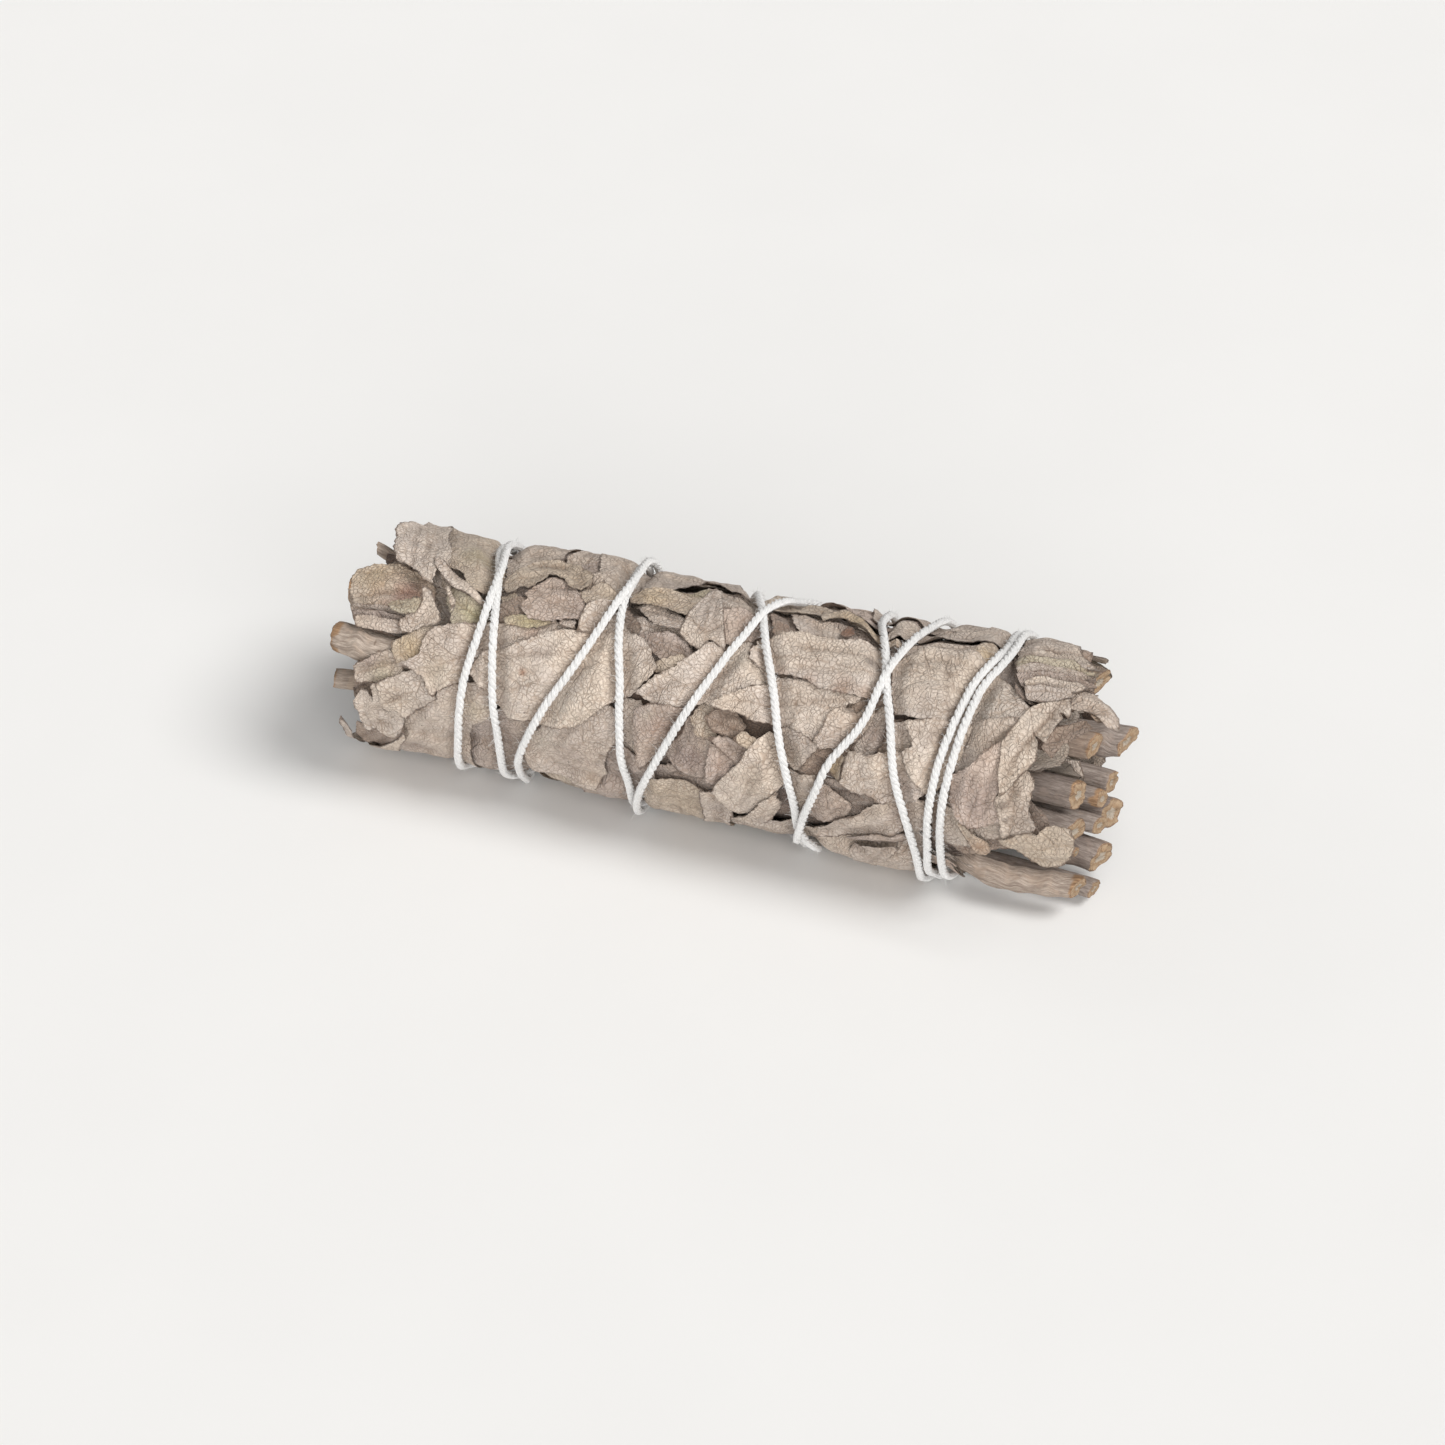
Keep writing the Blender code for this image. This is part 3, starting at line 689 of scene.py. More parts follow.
def lay_leaf(piece, poly, level, tone, seed, folds=(), crumple=0.30, curl=0.5, bulge=0.3,
             angle=None, grow=0.0, blobs=(), crenate=0.10, torn=0.19, grid=0.5, lift=(), span=None):
    """Drapes one leaf over what is already there and adds it to a piece.
    poly: outline in (x, s). level: height above the base surface, mm. folds:
    (line, height, width). lift: (place, height, reach) raises an end. blobs:
    (x, s, reach, colour, strength)."""
    rng = random.Random(seed)
    if grow:
        poly = grown(poly, grow)
    rim_line = ragged(poly, seed, crenate, torn, 0.8 if INNER[0] else 0.34)
    px = np.array([p[0] for p in rim_line])
    ps = np.array([p[1] for p in rim_line])
    i, j, gx, gs = window(px.min() - 1.6, px.max() + 1.6, ps.min() - 1.6, ps.max() + 1.6)
    X, S = np.meshgrid(gx, gs, indexing="ij")
    sub = np.ix_(i, j % SN)
    coarse = rim_line if INNER[0] else rim_line[::3]
    d, _ = line_distance(X, S, coarse, True)
    mask = inside(X, S, rim_line)
    d = np.where(mask, d, -d)
    cx, cs = px.mean(), ps.mean()
    if angle is None:
        q = np.stack([px - cx, ps - cs])
        w, vec = np.linalg.eigh(q @ q.T)
        ax, asn = vec[:, 1]
    else:
        ax, asn = math.cos(angle), math.sin(angle)
    A = (X - cx) * ax + (S - cs) * asn
    B = -(X - cx) * asn + (S - cs) * ax
    dp = np.maximum(d, 0.0)
    t = np.full(X.shape, float(level))
    t += 0.45 * bulge * (1 - np.exp(-((dp / 2.2) ** 2)))
    ridge = 1 - np.abs(noise(A * 0.10 + seed, B * 0.42, seed + 5))
    t += 0.8 * crumple * (fbm(A * 0.16, B * 0.33, seed, 3) + 0.6 * (ridge - 0.5))
    t += 0.10 * fbm(A * 0.5, B * 0.95, seed + 11, 3)
    folds = list(folds)
    long, broad = float(np.ptp((px - cx) * ax + (ps - cs) * asn)), float(np.ptp(-(px - cx) * asn + (ps - cs) * ax))
    for k in range(0 if INNER[0] else int(min(4, 0.45 * long * min(1.0, broad / 4.0)))):
        b = rng.uniform(-0.36, 0.36) * broad
        a0, a1 = sorted((rng.uniform(-0.5, 0.1) * long, rng.uniform(0.0, 0.5) * long))
        turn = rng.uniform(-0.16, 0.16) * broad
        line = [(cx + a * ax - bb * asn, cs + a * asn + bb * ax) for a, bb in ((a0, b), ((a0 + a1) / 2, b + turn * 0.3), (a1, b + turn))]
        folds.append((line, rng.choice([-0.30, 0.34, -0.22, 0.26]), rng.uniform(0.28, 0.6)))
    for line, height, width in folds:
        dist, along = line_distance(X, S, line)
        t += height * np.exp(-((dist / width) ** 1.4)) * (0.6 + 0.4 * np.sin(np.pi * np.clip(along, 0.05, 0.95)))
    if curl:
        wave = 0.35 + 0.75 * noise(X * 0.30 + seed, S * 0.30, seed + 3)
        t += curl * np.exp(-((dp / 0.8) ** 2)) * wave
    for (lx, ls), height, reach in lift:
        t += height * smooth(1 - np.hypot(X - lx, S - ls) / reach)
    dt = T_FIELD[sub]
    press = smooth((dt - 0.45) / 2.3)
    under = H[sub]
    low = np.minimum(t, -0.75)
    t = low + (t - low) * press
    need = np.maximum(under + GAP - t, 0.0)
    top = t + blur(swell(need, 0.75), 0.5)
    top = np.maximum(top, under + GAP * 0.6)
    H[sub] = np.where(mask, np.maximum(under, top + THICK), under)
    # vertices: the margin, then a jittered grid
    verts = [Vector(p) for p in rim_line]
    step = grid
    nx = int((px.max() - px.min()) / step) + 1
    ns = int((ps.max() - ps.min()) / (step * 0.9)) + 1
    kx, ks = np.meshgrid(np.arange(nx), np.arange(ns), indexing="ij")
    jit = np.random.RandomState(seed % 99991).uniform(-0.2, 0.2, (2,) + kx.shape) * step
    vx = px.min() + (kx + 0.5 * (ks % 2)) * step + jit[0]
    vs = ps.min() + ks * step * 0.9 + jit[1]
    vx, vs = vx.ravel(), vs.ravel()
    vd = bilinear(d, (vx - gx[0]) / DX, (vs - gs[0]) / DS)
    keep = vd > step * 0.45
    verts += [Vector((a, b)) for a, b in zip(vx[keep], vs[keep])]
    nb = len(rim_line)
    out = delaunay_2d_cdt(verts, [], [list(range(nb))], 1, 1e-5)
    co2 = np.array([(p.x, p.y) for p in out[0]])
    tri = [f for f in out[2] if len(f) == 3]
    if len(tri) < 4:
        return
    hx = bilinear(top, (co2[:, 0] - gx[0]) / DX, (co2[:, 1] - gs[0]) / DS)
    rd = np.maximum(bilinear(d, (co2[:, 0] - gx[0]) / DX, (co2[:, 1] - gs[0]) / DS), 0.0)
    r = base_r(co2[:, 0]) + packed(hx, co2[:, 1])
    # nothing goes through the table
    down = -np.sin(co2[:, 1] / R0) * TALL
    limit = np.where(down > 0.15, (AX[2] - 0.03) / np.maximum(down, 0.15), 99.0)
    r = np.minimum(r, limit)
    thick = 0.17 * (0.55 + 0.45 * smooth(rd / 0.8))
    rb = r - thick
    va, vb = place(co2[:, 0], co2[:, 1], r), place(co2[:, 0], co2[:, 1], rb)
    n = len(co2)
    tri = np.array(tri)
    p0, p1, p2 = co2[tri[:, 0]], co2[tri[:, 1]], co2[tri[:, 2]]
    area = (p1[:, 0] - p0[:, 0]) * (p2[:, 1] - p0[:, 1]) - (p1[:, 1] - p0[:, 1]) * (p2[:, 0] - p0[:, 0])
    tri = np.where(area[:, None] > 0, tri, tri[:, ::-1])
    edges = {}
    for a, b, c in tri.tolist():
        for e in ((a, b), (b, c), (c, a)):
            if (e[1], e[0]) in edges:
                del edges[(e[1], e[0])]
            else:
                edges[e] = 1
    faces = tri.tolist() + (tri[:, ::-1] + n).tolist()
    faces += [(b, a, a + n, b + n) for a, b in edges]
    la = (co2[:, 0] - cx) * ax + (co2[:, 1] - cs) * asn
    lb = -(co2[:, 0] - cx) * asn + (co2[:, 1] - cs) * ax
    co = np.stack([la, lb, np.full(n, (seed % 97) * 5.0)], 1)
    tint = np.tile(np.array(TONES[tone]) * rng.uniform(0.94, 1.07), (n, 1))
    # painted shade: the inner layers are darkened so that the gaps between the outer leaves look shaded
    if INNER[0]:
        tint = tint * np.array([0.46, 0.42, 0.40])
    # painted shade: hollows are a little darker and browner
    smooth_top = blur(top, 1.0)
    hollow_shade = bilinear(smooth_top - top, (co2[:, 0] - gx[0]) / DX, (co2[:, 1] - gs[0]) / DS)
    k = np.clip(hollow_shade / 0.5, 0, 1)[:, None]
    tint = tint * (1 - k * np.array([0.34, 0.38, 0.41]))
    # painted shade along the sharp folds, stronger in the valley folds than on the ridges
    for line, height, width in folds:
        if abs(height) >= 0.2 and width <= 0.5:
            dist, _ = line_distance(co2[:, 0], co2[:, 1], line)
            k = (0.20 if height < 0 else 0.11) * np.exp(-((dist / 0.34) ** 2))[:, None]
            tint = tint * (1 - k * np.array([1.0, 1.12, 1.2]))
    for bx, bs, reach, colour, strength in blobs:
        wob = 1 + 0.35 * fbm(co2[:, 0] * 0.5, co2[:, 1] * 0.5, seed + 2, 2)
        k = (strength * smooth(1 - np.hypot(co2[:, 0] - bx, co2[:, 1] - bs) / (reach * wob)))[:, None]
        tint = tint * (1 - k) + np.array(colour) * k
    back = tint * np.array([1.04, 1.02, 0.98])
    piece.add(np.concatenate([va, vb]), faces, np.concatenate([co, co + [0, 0, 2.5]]),
              np.concatenate([tint, back]), np.concatenate([rd, rd]))


def lancet(x, theta, length, width, angle, seed, torn_end=0.5):
    """Outline of a whole or torn leaf lying on the bundle, in (x, s)."""
    rng = random.Random(seed)
    s = math.radians(theta) * R0
    n = 14
    skew = rng.uniform(-0.15, 0.15)
    cut_a = rng.random() < torn_end
    cut_b = rng.random() < torn_end * 0.6
    pts = []
    for side in (1, -1):
        for k in range(n + 1):
            u = k / n if side == 1 else 1 - k / n
            w = math.sin(math.pi * min(1, max(0, u)) ** 0.85) ** 0.75
            if cut_a and u > 0.78:
                w = max(w, 0.55)
            if cut_b and u < 0.15:
                w = max(w, 0.5)
            w = max(w, 0.05)
            a = (u - 0.5) * length
            b = side * w * width / 2 * (1 + 0.12 * math.sin(u * 7 + seed)) + skew * a * 0.4
            if (cut_a and u > 0.97) or (cut_b and u < 0.03):
                a += rng.uniform(-1.2, 1.2)
            pts.append((x + a * math.cos(angle) - b * math.sin(angle), s + a * math.sin(angle) + b * math.cos(angle)))
    return pts


def outline(text, rise=1.25):
    return [on_surface(int(a), int(b), rise) for a, b in re.findall(r"\((\d+),(\d+)\)", text)]


NODE_MID = {n: (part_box(n)[0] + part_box(n)[1]) / 2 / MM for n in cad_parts}


def nearest(x, theta, r, names):
    p = place(np.array([x]), np.array([math.radians(theta) * R0]), np.array([r]))[0]
    return min(names, key=lambda n: (NODE_MID[n] - Vector(p)).length)


def open_window(poly, seed):
    """The stem end has no leaves low on the front, where two stems show."""
    out = []
    for k, (x, s) in enumerate(poly):
        th = (math.degrees(s / R0) + 180) % 360 - 180
        if -112 < th < -26:
            x = min(x, 33.4 + 0.7 * math.sin(k * 2.3 + seed))
        if -26 <= th < 48:
            x = min(x, 37.6 + 0.8 * math.sin(k * 2.7 + seed))
        if 17 < th < 44:
            x = max(x, -38.0 + 0.8 * math.sin(k * 1.9 + seed))
        out.append((x, s))
    return out


# ------------------------------------------------ inner layers, all the way round
def inner_layers():
    rng = random.Random(11)
    shells = [("leaf_inner_3_", 3, -2.6, 24), ("leaf_inner_2_", 6, -1.9, 30), ("leaf_inner_1_", 6, -1.2, 40)]
    for prefix, count, level, many in shells:
        names = [f"{prefix}{k + 1}" for k in range(count)]
        for name in names:
            leaf_piece(name, name)
        for k in range(many):
            theta = (k * 137.5 + rng.uniform(-12, 12)) % 360 - 180
            x = -36 + 72 * ((k * 0.618 + 0.13) % 1.0) + rng.uniform(-3, 3)
            length, width = rng.uniform(22, 34), rng.uniform(9, 13)
            x = max(-46.5 + length / 2, min(44.5 - length / 2, x))
            angle = rng.uniform(-0.35, 0.35)
            seed = 1000 + rng.randrange(9000)
            poly = open_window(lancet(x, theta, length, width, angle, seed, 0.7), seed)
            lay_leaf(leaf_piece(nearest(x, theta, 12.5, names)), poly, level,
                     rng.choice(["brown", "mauve", "brown", "grey"]), seed, grid=1.4,
                     crumple=0.25, curl=0.2, bulge=0.1)
        # a ring at each end and two between, so that no gap shows daylight
        if count == 6 and level > -1.5:
            continue
        for ring, (x, length) in enumerate([(-37.0, 19), (-21.0, 21), (-3.0, 22), (15.0, 22), (30.0, 21), (37.0, 15)]):
            for m in range(11):
                theta = m * 360 / 11 + ring * 14 + count * 9 + rng.uniform(-5, 5)
                th = (theta + 180) % 360 - 180
                if ring == 5 and -112 < th < -26:
                    continue
                seed = 600 + int(level * -100) + ring * 50 + m
                poly = open_window(lancet(x + rng.uniform(-1, 1), theta, length, 10.5, rng.uniform(-0.15, 0.15), seed, 0.9), seed)
                lay_leaf(leaf_piece(nearest(x, theta, 12.5, names)), poly, level + 0.1,
                         rng.choice(["brown", "mauve", "grey", "mauve"]), seed, grid=1.4,
                         crumple=0.3, curl=0.25, bulge=0.1)


# ------------------------------------------ outer leaves that the camera misses
def hidden_sides():
    rng = random.Random(23)
    names = ["leaf_back_1", "leaf_back_2", "leaf_back_3", "leaf_belly_1", "leaf_belly_2", "leaf_belly_3"]
    for n in names:
        leaf_piece(n, n)
    spots = []
    for row, theta in enumerate([138, 158, 178, 198, 218, 238, 257, 276, 295, 312]):
        x = -50 + (row * 7.3) % 13
        while x < 45:
            length = rng.uniform(17, 34)
            spots.append((x + length / 2, theta + rng.uniform(-5, 5), length, rng.uniform(8.5, 13), rng.uniform(-0.3, 0.3)))
            x += length * rng.uniform(0.62, 0.85)
    rng.shuffle(spots)
    for k, (x, theta, length, width, angle) in enumerate(spots):
        x = max(-47.5 + length / 2, min(46 - length / 2, x))
        if rng.random() < 0.5:
            angle += math.pi
        seed = 20000 + k * 37
        poly = open_window(lancet(x, theta, length, width, angle, seed, 0.55), seed)
        poly = [(px, ps) for px, ps in poly]
        th = (theta + 180) % 360 - 180
        under = smooth(1 - abs(th + 90) / 38.0)
        s0 = math.radians(theta) * R0
        rib = [(x - 0.42 * length * math.cos(angle), s0 - 0.42 * length * math.sin(angle)), (x + 0.42 * length * math.cos(angle), s0 + 0.42 * length * math.sin(angle))]
        tone = rng.choice(["grey", "pale", "grey", "tan", "mauve", "grey", "olive", "pink"])
        folds = [(rib, rng.choice([-0.35, 0.3]), 0.5)]
        if rng.random() < 0.6:
            b = rng.uniform(-0.3, 0.3) * width
            folds.append(([(p[0] - b * math.sin(angle), p[1] + b * math.cos(angle)) for p in rib], rng.uniform(0.3, 0.6), rng.uniform(0.5, 0.9)))
        lay_leaf(leaf_piece(nearest(x, theta, 15, names)), poly, 0.2 + 1.0 * under, tone, seed, folds=folds,
                 crumple=0.42, curl=0.45, bulge=0.4 + 0.5 * under, grid=0.62)


# --------------------------------------------- leaves read from the photograph
# (piece, level, tone, outline, extras). Outlines are pixels of the 1445 frame,
# listed from the lowest leaf to the one on top.
def F(text, height, width):
    return (outline(text), height, width)


def B(px, py, reach, colour, strength):
    x, s = on_surface(px, py)
    return (x, s, reach, colour, strength)


RUST = (0.34, 0.155, 0.075)
DARK = (0.10, 0.07, 0.055)
CREAM = (0.66, 0.60, 0.50)
OLIVE = (0.47, 0.43, 0.24)
SAND = (0.60, 0.47, 0.30)
MAUVE = (0.36, 0.27, 0.25)

TRACED = [
    # ---- low strips and scraps that show in the gaps
    ("leaf_low_2", -0.5, "mauve", "(460,725)(482,726)(504,720)(532,730)(530,745)(528,772)(500,776)(470,770)(462,750)",
     dict(grow=0.8, folds=[("(467,740)(490,748)(515,752)", 0.5, 0.5), ("(472,760)(498,752)(520,760)", 0.45, 0.45)], crumple=0.5)),
    ("leaf_low_5", -0.4, "mauve", "(640,778)(668,778)(692,778)(716,772)(716,790)(704,800)(684,794)(648,792)", dict(grow=0.8)),
    ("leaf_low_4", -0.5, "grey", "(618,700)(636,703)(637,740)(646,772)(640,782)(618,765)(612,735)", dict(grow=0.5)),
    ("leaf_low_4", -0.2, "mauve", "(660,762)(672,746)(680,733)(688,720)(693,716)(695,726)(698,735)(704,740)(709,748)(714,765)(715,775)(698,779)(688,780)(672,772)",
     dict(folds=[("(668,764)(684,748)(692,726)", 0.4, 0.5)], blobs=[B(690, 765, 3.5, MAUVE, 0.5)])),
    ("leaf_low_4", 0.0, "tan", "(688,724)(697,706)(704,702)(712,708)(706,722)(714,740)(702,738)(694,735)", {}),
    ("leaf_low_6", -0.3, "brown", "(704,717)(714,711)(733,713)(743,729)(730,740)(714,732)", dict(crumple=0.6)),
    ("leaf_low_6", -0.2, "pink", "(710,745)(725,758)(733,768)(718,788)(709,792)(706,765)", dict(blobs=[B(720, 768, 2.5, RUST, 0.25)])),
    ("leaf_low_6", 0.0, "mauve", "(722,739)(744,747)(751,750)(737,766)(722,752)(708,738)", {}),
    ("leaf_low_6", 0.1, "tan", "(735,739)(741,732)(758,745)(746,750)", {}),
    ("leaf_low_7", -0.3, "mauve", "(817,786)(840,788)(862,800)(882,806)(866,818)(850,822)(830,824)(815,815)", dict(blobs=[B(850, 800, 3, DARK, 0.6)])),
    ("leaf_mid_3", -0.2, "brown", "(792,768)(812,752)(824,766)(816,786)(797,782)", {}),
    ("leaf_low_7", -0.1, "grey", "(785,778)(812,782)(806,800)(797,826)(786,800)", {}),
    ("leaf_low_7", 0.0, "mauve", "(818,790)(835,799)(848,811)(842,820)(832,824)(810,827)(798,823)(808,808)", dict(folds=[("(812,812)(835,812)", 0.5, 0.5)])),
    ("leaf_low_7", -0.7, "grey", "(800,838)(845,838)(905,838)(922,850)(920,878)(880,872)(838,864)(806,852)", dict(grow=0.5)),
    ("leaf_low_8", -0.6, "brown", "(932,805)(975,800)(1020,800)(1040,830)(1030,850)(1000,852)(965,856)(936,852)", dict(grow=1.0)),
    ("leaf_low_8", -0.1, "grey", "(962,820)(985,824)(1003,820)(1004,842)(978,842)(966,838)", {}),
    ("leaf_low_8", 0.0, "pale", "(936,810)(950,816)(962,821)(968,830)(974,840)(974,851)(962,853)(942,852)(935,835)",
     dict(folds=[("(944,818)(960,838)", 0.3, 0.5)])),
    ("leaf_shoulder_2", -0.4, "mauve", "(622,606)(650,612)(682,620)(690,640)(684,660)(655,668)(640,650)(626,630)", dict(grow=0.4)),
    ("leaf_shoulder_2", 0.0, "grey", "(624,607)(638,613)(650,616)(662,619)(674,623)(682,628)(684,637)(668,636)(655,636)(640,636)(624,630)", dict(crumple=0.35)),
    ("leaf_shoulder_2", 0.2, "mauve", "(638,634)(655,632)(668,632)(682,639)(690,650)(686,656)(676,660)(668,658)(653,647)",
     dict(folds=[("(648,640)(676,650)", 0.4, 0.45)])),
    ("leaf_mid_1", 0.1, "tan", "(652,665)(658,662)(670,660)(683,655)(688,662)(682,670)(665,673)(652,668)", {}),
    ("leaf_top_2", -0.5, "mauve", "(640,590)(662,580)(700,582)(745,588)(770,604)(758,612)(720,606)(690,600)(650,600)", dict(grow=0.6)),
    ("leaf_shoulder_3", -0.5, "brown", "(715,600)(762,602)(766,640)(752,648)(724,648)(716,626)", dict(grow=0.6)),
    ("leaf_shoulder_3", 0.0, "grey", "(706,587)(720,586)(735,590)(752,592)(763,600)(759,612)(737,611)(722,610)", {}),
    ("leaf_shoulder_3", 0.2, "pink", "(723,610)(742,608)(758,612)(762,628)(748,634)(738,642)(726,636)",
     dict(crumple=0.5, folds=[("(728,618)(754,626)", 0.5, 0.5)])),
    ("leaf_top_2", 0.1, "olive", "(652,591)(660,588)(675,586)(705,588)(711,594)(704,600)(675,595)(660,594)", dict(blobs=[B(685, 590, 1.1, RUST, 0.8)])),
    ("leaf_shoulder_2", 0.2, "grey", "(632,599)(655,602)(675,609)(690,617)(686,629)(668,626)(655,621)(643,608)",
     dict(folds=[("(640,604)(662,614)(682,620)", 0.3, 0.4)], blobs=[B(640, 610, 1.6, DARK, 0.6)])),
    ("leaf_top_1", -0.4, "mauve", "(500,560)(560,548)(606,548)(640,575)(624,600)(590,606)(540,604)(500,606)", dict(grow=0.6)),
    ("leaf_top_1", 0.0, "grey", "(568,557)(592,550)(603,552)(604,563)(585,567)(572,563)", {}),
    ("leaf_top_1", 0.0, "mauve", "(578,564)(600,562)(605,571)(588,575)", {}),
    ("leaf_top_1", 0.1, "tan", "(501,588)(514,590)(519,607)(505,611)", {}),
    ("leaf_top_1", 0.1, "mauve", "(498,608)(522,610)(530,621)(498,622)", {}),
    ("leaf_large_front", -0.3, "brown", "(500,600)(560,598)(622,598)(640,630)(600,650)(540,650)(492,650)", dict(grow=0.6)),
    ("leaf_mid_2", -0.4, "brown", "(745,640)(800,650)(880,670)(895,700)(880,760)(820,760)(775,730)(740,700)", dict(grow=0.4)),
    ("leaf_mid_2", 0.0, "grey", "(864,728)(874,712)(884,698)(888,715)(886,735)(883,752)(872,757)(858,755)(850,752)(860,738)",
     dict(blobs=[B(872, 735, 3, MAUVE, 0.4)])),
    ("leaf_top_4", -0.4, "mauve", "(885,630)(940,632)(1000,640)(1030,660)(1020,680)(960,660)(900,656)", dict(grow=0.6)),
    ("leaf_top_4", 0.1, "grey", "(898,647)(905,638)(918,636)(932,637)(948,639)(962,641)(975,641)(988,638)(997,642)(990,648)(975,651)(962,652)(948,651)(935,649)(922,647)", {}),
    ("leaf_top_4", 0.3, "tan", "(973,648)(995,641)(1005,645)(1000,656)(988,662)", dict(blobs=[B(988, 650, 2.0, SAND, 0.6)])),
    ("leaf_top_3", -0.4, "mauve", "(765,596)(830,604)(885,626)(888,650)(830,650)(775,640)", dict(grow=0.6)),
    ("leaf_top_3", 0.0, "brown", "(773,610)(799,610)(801,632)(775,636)", dict(crumple=0.6, folds=[("(778,616)(796,630)", 0.5, 0.5)])),
    ("leaf_shoulder_3", 0.2, "grey", "(793,611)(810,612)(830,617)(839,624)(843,631)(840,640)(820,640)(805,636)(796,622)", {}),
    ("leaf_low_7", -0.1, "brown", "(886,720)(912,720)(922,745)(920,770)(884,775)(870,770)(884,745)", dict(grow=0.4)),
    ("leaf_low_7", 0.1, "grey", "(892,722)(908,720)(914,726)(911,735)(917,748)(903,753)(900,757)(894,756)", {}),
    ("leaf_mid_3", 0.1, "mauve", "(870,762)(884,754)(888,773)(873,773)", {}),
    # ---- the left end
    ("leaf_shoulder_1", -1.5, "brown", "(358,618)(384,620)(412,626)(436,636)(430,652)(396,650)(360,644)", dict(crenate=0.03, torn=0.1)),
    ("leaf_cap_left", -1.2, "tan", "(356,562)(372,556)(400,556)(420,566)(430,580)(426,600)(398,607)(366,605)(352,596)(349,580)",
     dict(bulge=0.9, grow=0.6, crumple=0.2, folds=[("(356,590)(390,584)(424,586)", -0.5, 0.5)], blobs=[B(405, 588, 5.5, (0.42, 0.24, 0.19), 0.75), B(372, 566, 4, SAND, 0.6)])),
    ("leaf_shoulder_1", -0.8, "grey", "(346,603)(370,603)(396,609)(420,617)(436,626)(410,622)(380,616)(350,611)", dict(crenate=0.03, torn=0.1, crumple=0.1)),
    ("leaf_shoulder_1", -0.6, "mauve", "(349,610)(374,610)(400,618)(424,628)(402,628)(376,621)(352,618)", dict(crenate=0.03, torn=0.1, crumple=0.1)),
    ("leaf_shoulder_1", -0.4, "grey", "(352,617)(372,617)(396,622)(412,630)(392,630)(372,627)(354,624)", dict(crenate=0.03, torn=0.1, crumple=0.1)),
    ("leaf_low_1", -0.8, "mauve", "(352,664)(372,660)(398,658)(412,664)(404,676)(372,684)(352,684)", dict(grow=0.1)),
    ("leaf_low_1", -0.6, "brown", "(353,662)(400,660)(440,652)(440,690)(400,720)(353,716)", dict(grow=0.2)),
    ("leaf_low_3", -1.0, "mauve", "(590,765)(618,758)(640,772)(652,796)(640,812)(606,808)(584,792)", dict(grow=1.2)),
    ("leaf_low_2", 0.1, "grey", "(402,722)(410,716)(422,707)(433,702)(438,694)(446,690)(456,690)(466,689)(475,691)(481,698)(486,704)(480,707)(486,716)(484,723)(476,727)(468,729)(465,740)(468,752)(474,768)(462,766)(448,763)(432,760)(420,757)(408,753)(390,750)(370,748)(358,745)(353,740)(362,739)(375,739)(388,736)(397,733)",
     dict(folds=[("(404,740)(430,716)(470,700)", 0.55, 0.7), ("(380,746)(430,742)(462,748)", -0.4, 0.6)], blobs=[B(420, 748, 5, MAUVE, 0.35), B(470, 715, 3, OLIVE, 0.2)], curl=0.4)),
    ("leaf_low_1", 0.5, "pale", "(352,668)(358,664)(365,659)(371,656)(378,653)(388,652)(392,654)(396,662)(400,667)(404,673)(395,679)(383,682)(372,685)(355,687)(352,680)",
     dict(blobs=[B(368, 660, 3, MAUVE, 0.6), B(380, 676, 3, OLIVE, 0.3)], torn=0.3)),
    ("leaf_low_1", 0.2, "brown", "(356,727)(366,731)(378,733)(392,735)(403,728)(401,737)(390,743)(372,745)(358,739)", dict(crenate=0.03, torn=0.06)),
    ("leaf_low_1", 0.5, "pale", "(340,719)(344,727)(350,734)(360,740)(374,743)(390,742)(402,735)(405,730)(407,736)(400,743)(388,748)(370,750)(354,746)(344,738)(338,728)", dict(crenate=0.03, torn=0.06, curl=0.8)),
    ("leaf_low_1", 0.7, "pale", "(361,690)(366,692)(370,697)(371,702)(374,702)(373,695)(370,688)(373,684)(379,687)(383,693)(384,700)(386,707)(390,711)(397,709)(401,715)(403,722)(402,728)(397,733)(390,735)(380,731)(375,729)(368,732)(363,728)(361,722)(360,712)(356,708)(354,702)(357,697)",
     dict(crumple=0.5, folds=[("(362,722)(380,718)(400,724)", 0.5, 0.6)], crenate=0.03, torn=0.08, curl=0.5)),
    ("leaf_low_1", 0.9, "pale", "(375,683)(385,680)(395,678)(405,674)(413,673)(421,677)(426,683)(430,692)(434,700)(425,705)(415,711)(407,718)(402,716)(396,709)(386,711)(381,700)(378,690)",
     dict(folds=[("(384,696)(404,694)(428,694)", 0.3, 0.4)], bulge=0.5)),
    ("leaf_shoulder_1", 0.6, "tan", "(391,644)(405,638)(413,634)(419,628)(428,625)(437,625)(433,632)(426,637)(423,642)(421,650)(418,658)(412,660)(403,663)(398,662)(395,655)(393,648)",
     dict(blobs=[B(408, 646, 4, SAND, 0.7)], crenate=0.03)),
    ("leaf_cap_left", 0.3, "olive", "(450,585)(463,593)(480,600)(487,604)(485,614)(478,625)(458,625)(451,619)(448,598)",
     dict(blobs=[B(472, 612, 3, OLIVE, 0.6)])),
    ("leaf_cap_left", 0.6, "tan", "(452,529)(449,537)(451,545)(450,563)(461,567)(466,570)(468,575)(467,583)(472,586)(478,588)(490,584)(500,584)(503,560)(498,540)(488,530)(482,525)(468,524)(453,524)",
     dict(folds=[("(456,540)(478,560)(492,578)", 0.4, 0.6)], blobs=[B(480, 552, 4, OLIVE, 0.35)])),
    ("leaf_cap_left", 0.8, "pale", "(401,522)(415,520)(430,520)(444,517)(452,527)(449,536)(449,545)(450,565)(453,600)(453,620)(449,600)(446,580)(441,573)(436,565)(433,585)(428,578)(421,574)(417,568)(412,563)(405,559)(399,557)(396,548)(396,537)(398,530)",
     dict(folds=[("(404,540)(425,548)(440,566)", 0.4, 0.7), ("(428,524)(430,560)", -0.25, 0.3)], curl=0.9, torn=0.34)),
